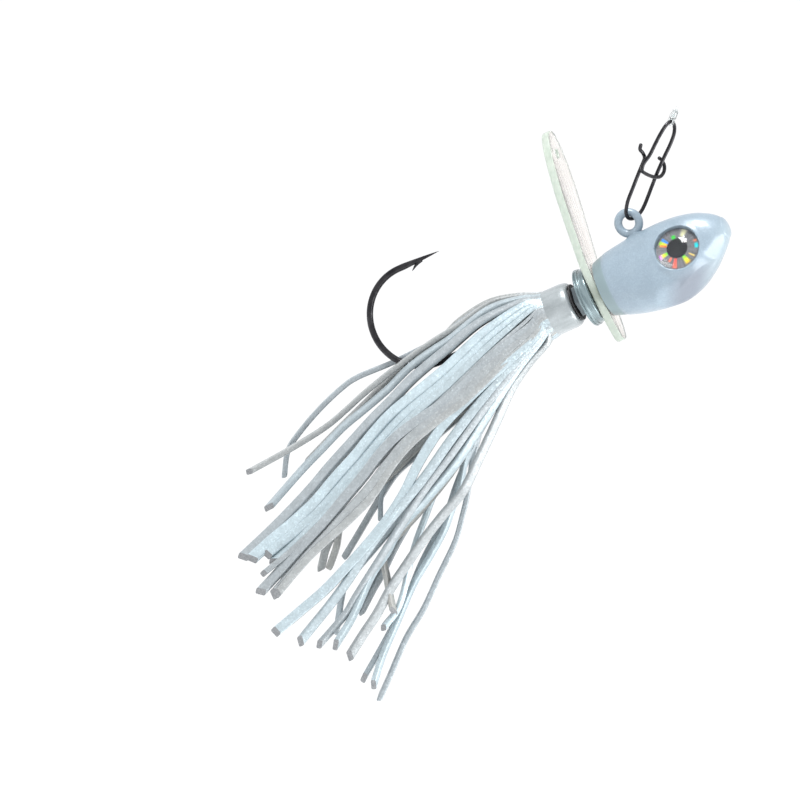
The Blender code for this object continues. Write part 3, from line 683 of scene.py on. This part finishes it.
def bevelled_chin(verts, stations):
    """Slopes the cheeks in to a keel along the chin and the snout, with a soft crease on each side."""
    keel = stations[(stations[:, 0] > 8.0) & (stations[:, 0] < 26.6)][:, (0, 2)]
    spot = verts[:, (0, 2)]
    distance = np.full(len(verts), 1e9)
    for a, b in zip(keel, keel[1:]):
        d = b - a
        t = np.clip(((spot - a) @ d) / max(d @ d, 1e-12), 0, 1)
        distance = np.minimum(distance, np.linalg.norm(spot - a - t[:, None] * d, axis=1))
    faded = 6.0 * (1 - step_up(verts[:, 0], 7.0, 14.0)) + step_up(verts[:, 0], 25.0, 27.0)
    limit = 1.25 + 1.35 * distance + faded
    wide = np.abs(verts[:, 1])
    verts[:, 1] = np.sign(verts[:, 1]) * np.maximum(soft_least(wide, limit, 1.2), 0)
    return verts


def eye_seats(verts):
    """Presses a round seat with a low swollen rim into each cheek."""
    for side in (-1, 1):
        middle, outward, _ = lens_seat(side)
        outward = np.array(outward)
        rel = verts - np.array(middle)
        height = rel @ outward
        radius = np.linalg.norm(rel - height[:, None] * outward, axis=1)
        near = (height > -3.0) & (radius < 6.9) & (np.sign(verts[:, 1]) == side)
        floor = np.where(radius < LENS_RADIUS + 0.12, 0.0, height)
        wall = step_up(radius, LENS_RADIUS + 0.05, LENS_RADIUS + 0.45)
        pressed = height * wall + np.minimum(floor, height) * (1 - wall)
        lift = 0.09 * np.exp(-((radius - LENS_RADIUS - 0.40) / 0.26) ** 2)
        swell = 0.40 - 3.8 * step_up(radius, LENS_RADIUS + 0.2, LENS_RADIUS + 3.1)
        lip = swell - 6.0 * step_up(verts[:, 2], 2.5, 6.0)
        raised = -soft_least(-pressed, -lip, 0.35)
        target = np.where(radius > LENS_RADIUS + 0.02, raised, pressed) + lift
        target = np.where(near, target, height)
        verts = verts + (target - height)[:, None] * outward
    return verts


def make_head():
    """The painted casting: one skin with its collar, crease, eye seats and the fillet under the line eye."""
    stations = head_stations()
    count = 260
    angles = np.arange(count) * 2 * math.pi / count
    cos, sin = np.cos(angles), np.sin(angles)
    rings = []
    for x, top, bottom, half, square in stations:
        y = half * np.sign(cos) * np.abs(cos) ** (2 / square)
        rise = np.sign(sin) * np.abs(sin) ** (2 / square)
        y = y * (1 - HEAD_SKEW * rise * step_up(x, 3.0, 12.0))
        z = (top + bottom) / 2 + (top - bottom) / 2 * rise
        rings.append(np.stack([np.full(count, x), y, z], axis=-1))
    verts = np.concatenate(rings)
    radial = np.hypot(verts[:, 1], verts[:, 2])
    groove = 0.07 * np.exp(-((verts[:, 0] - 4.6) / 0.30) ** 2)
    verts[:, 1:] *= (1 - groove / np.maximum(radial, 1.0))[:, None]
    verts = bevelled_chin(verts, stations)
    verts = eye_seats(verts)
    reach = np.hypot(verts[:, 0] - RING_X, verts[:, 1])
    fillet = 0.75 * np.exp(-(reach / 1.05) ** 2) * (verts[:, 2] > 3)
    verts[:, 2] += fillet
    faces = rings_to_faces(len(stations), count)
    piece("head_painted", verts, faces, SHAFT, [PEARL], "lure", ["head_casting"], 60.0)


def make_line_eye():
    """The cast ring on the head's back, painted with it, and the short neck that it stands on."""
    angles = np.linspace(0, 2 * math.pi, 97)[:-1]
    rings = []
    section = circle(RING_WIRE / 2 + 0.06, 28)
    for angle in angles:
        out = np.array([math.cos(angle), 0.0, math.sin(angle)])
        middle = np.array([RING_X, 0.0, RING_Z]) + RING_RADIUS * out
        rings.append(middle + section[:, :1] * out + section[:, 1:] * np.array([0.0, 1.0, 0.0]))
    verts = np.concatenate(rings)
    ring = (verts, closed_skin(len(angles), len(section)))
    heights = np.linspace(0, 1, 14)
    neck_rings = []
    for share in heights:
        z = RING_Z - RING_RADIUS - 0.1 - share * 1.3
        wide, deep = 1.28 + 1.0 * share**1.6, 0.66 + 0.45 * share**2
        neck_rings.append(np.array([(RING_X + wide * c, deep * s, z) for c, s in circle(1.0, 32)]))
    neck = (np.concatenate(neck_rings), rings_to_faces(len(heights), 32))
    verts, faces = merged([ring, neck])
    piece("line_eye_painted", verts, faces, SHAFT, [PEARL], "lure", ["hook"], 60.0)


# Flashes of the printed foil, and the lamp's pale yellow reflection at 50 degrees painted in among them:
# direction in degrees, inner and outer share of the radius, half width in degrees, and the colours from the
# inner to the outer end
FOIL_FLASHES_AND_PAINTED_REFLECTION = [
    (88.0, 0.48, 0.66, 9.0, [(0.03, 0.80, 0.05)]),
    (126.5, 0.50, 0.88, 6.0, [(0.02, 0.25, 0.95), (0.05, 0.35, 1.0)]),
    (137.5, 0.50, 0.92, 6.5, [(0.95, 0.70, 0.02), (0.45, 0.90, 0.05)]),
    (146.0, 0.50, 0.84, 4.5, [(1.0, 0.12, 0.03), (1.0, 0.35, 0.03)]),
    (186.0, 0.48, 0.90, 8.0, [(0.05, 0.85, 0.03), (1.0, 0.90, 0.03), (0.75, 0.05, 0.95)]),
    (219.0, 0.50, 0.72, 5.5, [(1.0, 0.22, 0.12)]),
    (243.0, 0.48, 0.96, 7.0, [(0.9, 0.08, 0.06), (1.0, 0.22, 0.15)]),
    (287.0, 0.46, 0.92, 9.0, [(0.03, 0.80, 0.08), (0.90, 0.90, 0.03), (1.0, 0.60, 0.05)]),
    (313.0, 0.62, 0.92, 3.0, [(0.95, 0.72, 0.20)]),
    (346.0, 0.82, 1.00, 8.0, [(0.0, 0.75, 0.80)]),
    (2.0, 0.82, 1.00, 4.0, [(1.0, 0.32, 0.18)]),
    # painted reflection: the lamp's pale yellow highlight on the eye, laid into the print
    (50.0, 0.60, 0.98, 9.0, [(0.72, 0.70, 0.42), (0.92, 0.90, 0.62)]),
]
PUPIL_SHARE = 0.475


def print_colour(angle, share):
    """The foil's colour, with its painted reflection of the lamp, at a direction in degrees and a share of the
    disc's radius.
    """
    spokes = 0.5 + 0.5 * math.sin(math.radians(angle) * 23 + 2 * math.sin(math.radians(angle) * 7))
    grey = 0.15 + 0.06 * spokes + 0.05 * share
    colour = np.array([grey, grey * 1.0, grey * 1.06])
    for towards, inner, outer, half, stops in FOIL_FLASHES_AND_PAINTED_REFLECTION:
        off = abs((angle - towards + 180) % 360 - 180)
        strength = math.exp(-(off / half) ** 4) * step_up(share, inner - 0.05, inner + 0.03)
        strength *= 1 - step_up(share, outer - 0.05, outer + 0.04)
        place = np.clip((share - inner) / (outer - inner), 0, 1) * (len(stops) - 1)
        low = min(int(place), len(stops) - 1)
        high = min(low + 1, len(stops) - 1)
        flash = np.array(stops[low]) * (1 - (place - low)) + np.array(stops[high]) * (place - low)
        colour = colour * (1 - strength) + flash * strength
    pupil = 1 - step_up(share, PUPIL_SHARE - 0.015, PUPIL_SHARE + 0.015)
    return colour * (1 - pupil) + np.array([0.004, 0.006, 0.009]) * pupil


def make_eye(side, word):
    """One eye: the printed foil disc and the clear dome over it."""
    middle, outward, turn = lens_seat(side)
    home = SHAFT @ Matrix.Translation(middle * MM) @ turn.to_matrix().to_4x4()
    spokes, hoops = 240, 60
    shares = np.linspace(1.0, 0.0, hoops + 1)[:-1]
    angles = np.arange(spokes) * 2 * math.pi / spokes
    foil_top, foil_thickness = 0.24, 0.18
    top = [hoop(share * LENS_RADIUS, angles, foil_top) for share in shares]
    under = top[0] - np.array([0.0, 0.0, foil_thickness])
    verts = np.concatenate([under, *top, [[0.0, 0.0, foil_top]]])
    faces = rings_to_faces(hoops + 1, spokes, ends=False)
    faces.append(list(range(spokes))[::-1])
    last = hoops * spokes
    faces += [[last + k, last + (k + 1) % spokes, len(verts) - 1] for k in range(spokes)]
    disc = piece("eye_print_" + word, verts, faces, home, [PRINT], "lure", ["eye_foil_" + word])
    paint = disc.data.color_attributes.new("print", "FLOAT_COLOR", "POINT")
    mirrored = -1 if side > 0 else 1
    for index, (x, y, _) in enumerate(verts):
        angle = math.degrees(math.atan2(y, x * mirrored)) % 360
        paint.data[index].color = (*print_colour(angle, min(math.hypot(x, y) / LENS_RADIUS, 1.0)), 1.0)
    base, rise = 0.27, 0.95
    ball = (LENS_RADIUS**2 + rise**2) / (2 * rise)
    spread = math.asin(LENS_RADIUS / ball)
    domes = [hoop(LENS_RADIUS, angles, base)]
    for share in np.linspace(1.0, 0.02, 40):
        a = spread * share
        radius, height = ball * math.sin(a), base + 0.10 + rise - ball * (1 - math.cos(a))
        domes.append(hoop(radius, angles, height))
    faces = rings_to_faces(len(domes), spokes)
    nodes = ["eye_dome_" + word]
    verts = np.concatenate(domes)
    piece("eye_clear_dome_" + word, verts, faces, home, [RESIN], "lure", nodes, 50.0)


# ---------------------------------------------------------------- blade and its hardware

def make_blade():
    """The clear blade: a plate with rounded edges, one slight bend, a bore and a small hole by the tip."""
    half = [
        (0.0, -9.2), (1.35, -8.9), (2.15, -7.85), (2.7, -6.4), (3.25, -4.6), (3.75, -1.5), (4.15, 3.0),
        (4.5, 7.5), (4.9, 11.5), (5.2, 15.5), (5.25, 18.5), (4.95, 21.5), (4.3, 24.3), (3.3, 26.8), (1.9, 28.4),
        (0.0, 28.9),
    ]
    loop = [(y, z) for y, z in half] + [(-y, z) for y, z in reversed(half[1:-1])]
    padded = [(*p, 0.0) for p in [*loop[-2:], *loop, *loop[:2]]]
    fine = smooth_path(padded, 0.35)
    start = next(i for i, p in enumerate(fine) if np.allclose(p, padded[2]))
    stop = next(i for i in range(start + 5, len(fine)) if np.allclose(fine[i], padded[2]))
    outline = [(p[0], p[1]) for p in fine[start:stop]]
    curve = bpy.data.curves.new("blade_plate", "CURVE")
    curve.dimensions = "2D"
    curve.fill_mode = "BOTH"
    rounding = 0.24
    curve.extrude = (BLADE_THICKNESS / 2 - rounding) * MM
    curve.bevel_depth = rounding * MM
    curve.bevel_resolution = 3
    curve.offset = -rounding * MM
    holes = [circle(BUSH_RADIUS + 0.10, 48), circle(0.75, 32) + np.array([0.0, 24.8])]
    for points in (outline, *holes):
        spline = curve.splines.new("POLY")
        spline.points.add(len(points) - 1)
        for at, (y, z) in zip(spline.points, points):
            at.co = (y * MM, z * MM, 0.0, 1.0)
        spline.use_cyclic_u = True
    carrier = bpy.data.objects.new("blade_plate", curve)
    bpy.context.scene.collection.objects.link(carrier)
    bpy.context.view_layer.update()
    mesh = bpy.data.meshes.new_from_object(carrier.evaluated_get(bpy.context.evaluated_depsgraph_get()))
    bpy.data.objects.remove(carrier, do_unlink=True)
    shape = bmesh.new()
    shape.from_mesh(mesh)
    bmesh.ops.remove_doubles(shape, verts=shape.verts, dist=2e-6)
    for share in np.linspace(-1.6, 1.6, 9):
        everything = [*shape.verts, *shape.edges, *shape.faces]
        cut_at = (0, (BLADE_BEND_Z + share) * MM, 0)
        bmesh.ops.bisect_plane(shape, geom=everything, plane_co=cut_at, plane_no=(0, 1, 0))
    for vertex in shape.verts:
        y, z, x = vertex.co
        over = z - BLADE_BEND_Z * MM
        soft = over + math.sqrt(over**2 + (0.8 * MM) ** 2)
        vertex.co = (x + BLADE_X * MM + math.tan(BLADE_BEND) * soft / 2, y, z)
    bmesh.ops.recalc_face_normals(shape, faces=shape.faces)
    for face in shape.faces:
        face.material_index = 0 if abs(face.normal.x) > 0.9 else 1
    shape.to_mesh(mesh)
    shape.free()
    dress("blade_moulded", mesh, SHAFT, [FACE, EDGE], "blade", ["blade"], 50.0)


def rounded_corner(before, corner, after, radius, count=5):
    """A corner of a profile replaced by a small curve."""
    before, corner, after = (np.array(p, float) for p in (before, corner, after))
    a = corner + (before - corner) / np.linalg.norm(before - corner) * radius
    b = corner + (after - corner) / np.linalg.norm(after - corner) * radius
    return [tuple((1 - t) ** 2 * a + 2 * t * (1 - t) * corner + t**2 * b) for t in np.linspace(0, 1, count)]


def rounded_profile(points, radii):
    """A closed profile with its corners rounded, each by its own radius or not at all."""
    made = []
    for k, (point, radius) in enumerate(zip(points, radii)):
        if radius:
            made += rounded_corner(points[k - 1], point, points[(k + 1) % len(points)], radius)
        else:
            made.append(point)
    return made


def make_hardware():
    """The rimmed flange, lock nut, washer, bush and keeper behind the blade."""
    inner = BUSH_RADIUS + 0.06
    flange = rounded_profile(
        [(0.90, inner), (0.90, 4.92), (-0.22, 4.92), (-0.32, 5.12), (-0.62, 5.16), (-0.70, 5.02), (-0.80, 5.02),
         (-0.86, 5.2), (-1.16, 5.2), (-1.16, 4.25), (-1.02, 4.0), (-1.02, inner)],
        [0, 0.30, 0.08, 0.08, 0.08, 0.03, 0.03, 0.06, 0.12, 0.15, 0.12, 0],
    )
    turned("flange_rimmed", flange, 128, FLANGE_METAL, ["rear_flange"])
    washer = rounded_profile([(-2.96, 0.7), (-2.96, 3.3), (-2.74, 3.3), (-2.74, 0.7)], [0, 0.08, 0.08, 0])
    turned("washer_rubber", washer, 96, RUBBER, ["rear_washer"])
    outline = [(-2.68, 0.68), (-2.68, BUSH_RADIUS), (2.6, BUSH_RADIUS), (2.6, 0.68)]
    bush = rounded_profile(outline, [0, 0.15, 0.15, 0])
    turned("bush_tube", bush, 96, BUSH_METAL, ["blade_bush"])
    keeper = rounded_profile(
        [(-3.25, 0.68), (-3.25, 2.7), (-3.85, 2.35), (-8.2, 2.35), (-9.1, 2.7), (-9.6, 2.35), (-9.6, 0.68)],
        [0, 0.12, 0.3, 0.3, 0.25, 0.1, 0],
    )
    turned("keeper_barrel", keeper, 96, KEEPER_METAL, ["skirt_keeper"])
    make_nut(inner)


def make_nut(inner):
    """The hexagon nut: chamfered corners, a bored middle and softened edges."""
    count = 96
    angles = np.arange(count) * 2 * math.pi / count + math.radians(8.0)
    across = 3.0 * math.cos(math.pi / 6)
    hexagon = across / np.cos((angles + math.pi / 6) % (math.pi / 3) - math.pi / 6)
    hexagon = np.minimum(hexagon, 2.93)
    rings = []
    profile = [
        (-1.05, None), (-1.05, -0.30), (-1.11, -0.13), (-1.22, 0.0),
        (-2.48, 0.0), (-2.60, -0.13), (-2.65, -0.30), (-2.65, None)
    ]
    for x, inset in profile:
        radius = np.full(count, inner) if inset is None else hexagon + inset
        rings.append(np.stack([np.full(count, x), radius * np.sin(angles), radius * np.cos(angles)], axis=-1))
    verts = np.concatenate(rings)
    faces = closed_skin(len(profile), count)
    piece("nut_hexagon", verts, faces, SHAFT, [NUT_METAL], "lure", ["lock_nut"], 30.0)


# ---------------------------------------------------------------- skirt

# The strands, one a row: place round the sleeve in degrees from the top towards the near side, width, tint
# from warm to blue (its palest end a painted highlight band on the upper rows), and the middle line's x and z
# as seen from the near side, from the sleeve to the tip
STRANDS = [
    (352, 1.1, 0.55, [(-12, 5.0), (-17, 5.7), (-23, 4.9), (-28, 3.7), (-37, 3.2), (-44, 3.3), (-47.5, 2.7),
     (-52.5, 1.0), (-57.5, -1.3), (-61, -3.5), (-63.2, -6.9)]),
    (338, 1.5, 0.15, [(-12, 5.1), (-17, 6.0), (-23, 5.1), (-28, 3.3), (-36, 1.6), (-45, -1.6), (-52, -4.2),
     (-58, -6.6)]),
    (10, 1.1, 0.20, [(-12, 4.9), (-17, 5.8), (-24, 4.5), (-30, 3.6), (-35, 2.6), (-40, 1.4), (-45, 0.0),
     (-48, -1.0), (-53, -2.4), (-60, -3.4), (-68.9, -4.2)]),
    (24, 1.7, 0.80, [(-12, 4.5), (-18, 5.0), (-26, 3.0), (-30, 2.3), (-35, 1.2), (-40, -0.7), (-45, -2.2),
     (-50, -3.6), (-55, -5.6), (-60, -7.6), (-68, -11.2)]),
    (36, 1.9, 0.45, [(-12, 3.9), (-20, 3.6), (-28, 1.4), (-35, -0.6), (-40, -2.6), (-45, -4.5),
     (-50, -6.7), (-55, -8.9), (-60, -11.3), (-65, -13.4), (-70, -15.3), (-75.8, -17.3)]),
    # painted highlight: this row and the next take the palest tint, for the bright band along the bundle's top
    (47, 2.1, 1.00, [(-12, 3.2), (-20, 1.6), (-30, -1.8), (-40, -4.5), (-45, -6.5), (-50, -9.0),
     (-55, -11.2), (-60, -13.6), (-65, -15.3), (-70, -16.7), (-74.6, -18.2)]),
    (55, 1.6, 0.98, [(-12, 2.4), (-20, 0.4), (-30, -3.2), (-40, -6.2), (-50, -10.6), (-60, -15.2),
     (-65, -16.8), (-71.7, -18.6)]),
    (62, 1.5, 0.90, [(-12, 1.6), (-20, -0.8), (-30, -4.3), (-40, -7.6), (-50, -11.9), (-60, -16.2),
     (-66, -18.4), (-71.3, -20.1)]),
    (70, 1.0, 0.35, [(-12, 0.6), (-20, -1.9), (-30, -5.4), (-40, -8.9), (-50, -12.9), (-60, -17.0),
     (-67, -19.5), (-73.6, -21.3)]),
    (78, 1.8, 0.40, [(-12, -0.4), (-20, -2.6), (-30, -6.3), (-40, -8.3), (-45, -10.0), (-50, -12.6),
     (-55, -15.0), (-60, -17.4), (-65, -19.5), (-70, -21.7), (-75.5, -24.0)]),
    (88, 1.7, 0.30, [(-12, -1.2), (-20, -3.6), (-30, -7.4), (-40, -10.0), (-45, -12.3), (-50, -15.0),
     (-55, -17.2), (-60, -19.4), (-65, -21.5), (-73.5, -25.3)]),
    (96, 1.4, 0.20, [(-12, -2.1), (-20, -4.8), (-28, -7.6), (-33, -8.8), (-40, -10.8), (-45, -13.2),
     (-50, -16.4), (-56, -18.8), (-65, -21.8), (-72.8, -25.4)]),
    (282, 1.3, 0.20, [(-14, -3.0), (-25, -8.0), (-38, -11.5), (-48, -15.0), (-58, -19.0), (-60, -20.3),
     (-62, -22.0), (-63.9, -24.4)]),
    (276, 1.2, 0.05, [(-14, -3.6), (-25, -8.2), (-38, -11.8), (-48, -15.4), (-57, -18.7), (-58.3, -19.8),
     (-60, -22.3), (-62.4, -24.8)]),
    (262, 1.1, 0.40, [(-14, -4.0), (-25, -8.5), (-35, -11.5), (-40, -13.2), (-45, -14.8), (-50, -18.0),
     (-55, -21.5), (-58.9, -24.2)]),
    (255, 0.9, 0.75, [(-14, -4.0), (-25, -8.3), (-35, -10.9), (-42, -12.2), (-46, -14.6), (-49, -17.5),
     (-50.5, -20.5)]),
    (106, 1.7, 0.95, [(-12, -2.6), (-18, -4.6), (-26, -7.2), (-33, -9.9), (-37, -12.2), (-41, -15.0),
     (-45, -18.3), (-50, -21.5), (-55, -24.0), (-60, -26.2), (-65, -28.2), (-70, -29.7), (-75.8, -31.4)]),
    (115, 1.6, 0.85, [(-12, -3.1), (-18, -5.6), (-26, -9.2), (-33, -12.9), (-40, -17.0), (-45, -19.5),
     (-50, -22.0), (-55, -24.8), (-60, -28.0), (-65, -30.8), (-70, -33.3), (-72.6, -34.6)]),
    (122, 1.3, 0.45, [(-12, -3.5), (-18, -6.3), (-26, -10.6), (-34, -15.2), (-42, -19.6), (-52, -26.0),
     (-60, -31.2), (-63, -33.3), (-67, -35.2), (-69.7, -36.4)]),
    (244, 1.0, 0.75, [(-14, -4.4), (-26, -10.5), (-40, -18.5), (-52, -24.4), (-60.5, -28.5),
     (-62.5, -30.5), (-64.5, -33.5), (-65.9, -35.6)]),
    (130, 1.6, 0.90, [(-12, -3.9), (-18, -6.9), (-26, -11.9), (-34, -17.0), (-42, -20.9), (-48, -23.5),
     (-52, -26.5), (-56, -29.0), (-60, -32.5), (-63, -35.0), (-66.9, -37.6)]),
    (236, 1.5, 0.50, [(-14, -4.6), (-26, -11.6), (-35, -17.5), (-42, -21.0), (-45, -22.5), (-50, -26.0),
     (-54.5, -29.7), (-57, -31.5), (-60.2, -34.0)]),
    (140, 1.6, 0.30, [(-10.5, -4.4), (-15, -6.4), (-20, -9.4), (-25, -13.7), (-30, -17.9), (-35, -22.0),
     (-40, -24.4), (-45, -27.0), (-50, -30.0), (-54, -32.5), (-58, -35.5), (-62, -38.0), (-65.5, -40.3)]),
    (147, 1.2, 0.0, [(-12, -4.3), (-20, -8.3), (-28, -13.5), (-36, -18.5), (-44, -22.5), (-51.5, -25.8),
     (-53, -27.6), (-53.5, -30.0), (-54.3, -33.0), (-55, -36.3)]),
    (153, 1.0, 1.0, [(-12, -4.2), (-20, -8.0), (-28, -12.2), (-33, -15.0), (-36, -17.0), (-40, -20.5),
     (-43, -23.5), (-46, -26.5), (-49, -30.0), (-52, -34.0), (-54.5, -36.5), (-57.8, -38.2)]),
    (162, 1.3, 0.95, [(-12, -4.2), (-20, -8.0), (-27, -11.8), (-30, -14.4), (-33, -18.0), (-35.5, -21.5),
     (-38, -24.0), (-41, -27.0), (-45, -30.0), (-50, -33.5), (-55, -38.0), (-60, -42.5), (-63.7, -46.6)]),
    (172, 1.4, 0.75, [(-12, -4.4), (-20, -8.5), (-28, -13.8), (-35, -20.0), (-40, -25.2), (-45, -29.0),
     (-48, -31.5), (-52, -35.3), (-56, -38.5), (-60, -41.5), (-64.7, -44.9)]),
    (182, 1.3, 0.55, [(-12, -4.4), (-20, -8.6), (-27, -13.0), (-29, -15.0), (-31, -17.5), (-33, -20.5),
     (-35, -23.5), (-37, -26.0), (-40, -29.5), (-45, -33.7), (-50, -38.0), (-55, -41.5), (-60, -46.0),
     (-63.3, -48.9)]),
]
STRAND_DEPTH = 0.95
SLEEVE_END, SLEEVE_TINT = -12.6, 0.35
RIDGES_X = -8.8     # where the sleeve's smooth satin turns into the strands' material
ROOTS = [(-6.3, 3.05), (-7.5, 3.6), (-9.0, 4.0)]   # the strands' x and radius on their way out of the sleeve
CUT_SLANT = 1.4     # how steeply the cut ends slope across the lure
# The skirt's half depth at some distances behind the shaft's origin
BELL = [(7.0, 3.3), (12.0, 4.3), (16.0, 5.5), (24.0, 6.8), (32.0, 7.8), (44.0, 8.6), (58.0, 9.0), (78.0, 9.3)]


def rounded_bar(width, depth, corner=0.24, count=4):
    """A rounded oblong outline: depth along the normal, width across it."""
    outline = []
    for quarter, (sa, sb) in enumerate(((1, 1), (-1, 1), (-1, -1), (1, -1))):
        for t in np.linspace(0, math.pi / 2, count):
            angle = t + quarter * math.pi / 2
            a = sa * (depth / 2 - corner) + corner * math.cos(angle)
            b = sb * (width / 2 - corner) + corner * math.sin(angle)
            outline.append((a, b))
    return outline


def strand_path(angle, route):
    """A strand's middle line: out of the sleeve, over the skirt's swell, and down to the tip."""
    near, rise = math.sin(math.radians(angle)), math.cos(math.radians(angle))
    points = [(x, -radius * near, radius * rise) for x, radius in ROOTS]
    for x_seen, z in route:
        y = -near * np.interp(-x_seen, *zip(*BELL))
        points.append((x_seen - y * math.tan(CAMERA_YAW), y, z))
    path = smooth_path(points, 0.8)
    return np.vstack([path[:-3], path[-1:]])


def strand(angle, width, route, dice):
    """One strand as points and faces, its cut end last."""
    path = strand_path(angle, route)
    along = np.linspace(0, 1, len(path))
    path[:, 1] += 0.35 * along * np.sin(along * dice.uniform(3.0, 6.0) + dice.uniform(0, 6.3))
    grown = step_up(along, 0.04, 0.30)
    scale = np.stack([0.75 + 0.25 * grown, 0.60 + 0.40 * grown], axis=-1)
    twist = np.radians(dice.uniform(-28, 28)) * step_up(along, 0.15, 1.0)
    out = (0.0, -math.sin(math.radians(angle)), math.cos(math.radians(angle)))
    outline = rounded_bar(width, STRAND_DEPTH)
    rings = sweep(path, outline, scale, twist, out)
    end = path[-1] - path[-2]
    end /= np.linalg.norm(end)
    side = 1.0 if angle < 180 else -1.0
    rings[-1] += (rings[-1][:, 1:2] - path[-1, 1]) * side * CUT_SLANT * end
    return rings.reshape(-1, 3), rings_to_faces(len(path), len(outline))


def far_side(row, dice):
    """A strand that runs behind another one on the far side, a little shorter."""
    angle, width, _, route = row
    last, before = np.array(route[-1]), np.array(route[-2])
    end = last + (before - last) * dice.uniform(0.2, 0.7)
    lift = dice.uniform(-0.3, 0.3)
    moved = [(x, z + lift) for x, z in (*route[:-1], tuple(end))]
    return 360 - angle + dice.uniform(-4, 4), width * 0.9, dice.uniform(0.0, 0.9), moved


def set_tint(made, tints):
    """Lays the silicone's tint, from warm to blue and up to a painted highlight at the palest end, on each
    point of a piece.
    """
    shade = made.data.attributes.new("tint", "FLOAT", "POINT")
    shade.data.foreach_set("value", np.array(tints, np.float32))


def make_strands():
    """The free strands: those that show, and others behind them on the far side."""
    dice = random.Random(7)
    rows = list(STRANDS)
    rows += [far_side(row, dice) for row in STRANDS if 30 < row[0] < 175]
    verts, faces, tints, cut_faces, first = [], [], [], [], 0
    for angle, width, tint, route in rows:
        points, skin = strand(angle, width, route, dice)
        verts.append(points)
        faces += [[i + first for i in face] for face in skin]
        cut_faces.append(len(faces) - 1)
        tints += [tint] * len(points)
        first += len(points)
    looks = [SILICONE, CUT_END]
    skins = np.vstack(verts)
    made = piece("skirt_strands", skins, faces, SHAFT, looks, "lure", ["skirt"], 32.0)
    for index in cut_faces:
        made.data.polygons[index].material_index = 1
    set_tint(made, tints)
    return rows


def make_sleeve(rows):
    """The moulded sleeve that grips the keeper: a rounded mouth, and an end drawn in under the strands."""
    count = 320
    angles = np.arange(count) * 2 * math.pi / count
    mouth = [
        (0.9, 2.85), (0.35, 2.88), (0.06, 3.05), (0.0, 3.25), (0.05, 3.48), (0.22, 3.70), (0.50, 3.87),
        (0.90, 3.98), (1.5, SLEEVE_RADIUS)
    ]
    outer = [(SKIRT_FRONT - dx, r) for dx, r in mouth]
    outer += [(x, SLEEVE_RADIUS) for x in np.linspace(-4.9, -6.9, 10)]
    drawn_in = [(x, SLEEVE_RADIUS - 0.85 * step_up(-x, 7.9, 9.4)) for x in np.linspace(-7.1, SLEEVE_END, 26)]
    profile = outer + drawn_in
    inside = [(SLEEVE_END, 2.9), (-10.5, 2.87), (-6.0, 2.85)]
    rings = []
    for x, radius in profile + inside:
        depth = 0.16 * step_up(-x, 7.4, 9.0) if (x, radius) not in inside else 0.0
        flute = np.zeros(count)
        for row in rows:
            place = math.radians(row[0])
            off = np.abs((angles - place + math.pi) % (2 * math.pi) - math.pi) * radius
            flute = np.maximum(flute, np.sqrt(np.clip(1 - (off / 0.72) ** 2, 0, 1)))
        size = radius - depth * (1 - flute)
        rings.append(np.stack([np.full(count, x), -size * np.sin(angles), size * np.cos(angles)], axis=-1))
    verts = np.concatenate(rings)
    faces = closed_skin(len(rings), count)
    looks = [SLEEVE, SILICONE]
    made = piece("skirt_sleeve", verts, faces, SHAFT, looks, "lure", ["skirt"], 70.0)
    set_tint(made, np.full(len(verts), SLEEVE_TINT))
    ridged = [min(verts[i][0] for i in face) < RIDGES_X for face in faces]
    made.data.polygons.foreach_set("material_index", np.array(ridged, np.int32))


# ---------------------------------------------------------------- floor and light

FLOOR_RADIUS, FLOOR_DROP = 40.0, 0.45   # metres
WORLD_STRENGTH = 1.08


def area_light(name, right, up, towards, size, power):
    """A soft rectangular light, placed from the lure along the picture's own directions, in metres."""
    data = bpy.data.lights.new(name, "AREA")
    data.shape = "RECTANGLE"
    data.size, data.size_y = size
    data.energy = power
    light = bpy.data.objects.new(name, data)
    offset = VIEW_RIGHT * right + VIEW_UP * up + VIEW_TOWARDS * towards
    light.location = VIEW_AIM + offset
    light.rotation_mode = "QUATERNION"
    light.rotation_quaternion = offset.to_track_quat("Z", "Y")
    bpy.context.scene.collection.objects.link(light)


def make_studio():
    """A pale floor well below the hanging lure, soft lights and a bright surround."""
    below = (0, 0, cad_low.z - FLOOR_DROP)
    bpy.ops.mesh.primitive_circle_add(vertices=96, radius=FLOOR_RADIUS, fill_type="NGON", location=below)
    floor = bpy.context.object
    floor.name = "floor"
    floor.data.materials.append(floor_paper())
    area_light("key", -0.12, 0.95, 0.42, (0.40, 0.22), 11.0)
    area_light("fill", 1.0, -0.45, 0.45, (0.8, 0.8), 13.0)
    world = bpy.data.worlds.new("studio")
    bpy.context.scene.world = world
    world.use_nodes = True
    tree = world.node_tree
    back = tree.nodes["Background"]
    coords = tree.nodes.new("ShaderNodeTexCoord")
    split = tree.nodes.new("ShaderNodeSeparateXYZ")
    ramp = tree.nodes.new("ShaderNodeValToRGB")
    tree.links.new(coords.outputs["Generated"], split.inputs[0])
    tree.links.new(split.outputs["Z"], ramp.inputs["Fac"])
    ramp.color_ramp.elements[0].color = (0.96, 0.97, 1.0, 1.0)
    ramp.color_ramp.elements[1].color = (1.0, 1.0, 1.0, 1.0)
    tree.links.new(ramp.outputs["Color"], back.inputs["Color"])
    back.inputs["Strength"].default_value = WORLD_STRENGTH
    bpy.context.scene.view_settings.view_transform = "Standard"


make_line_knot()
make_snap()
make_hook()
make_head()
make_line_eye()
make_eye(-1, "right")
make_eye(1, "left")
make_blade()
make_hardware()
strand_rows = make_strands()
make_sleeve(strand_rows)
make_studio()
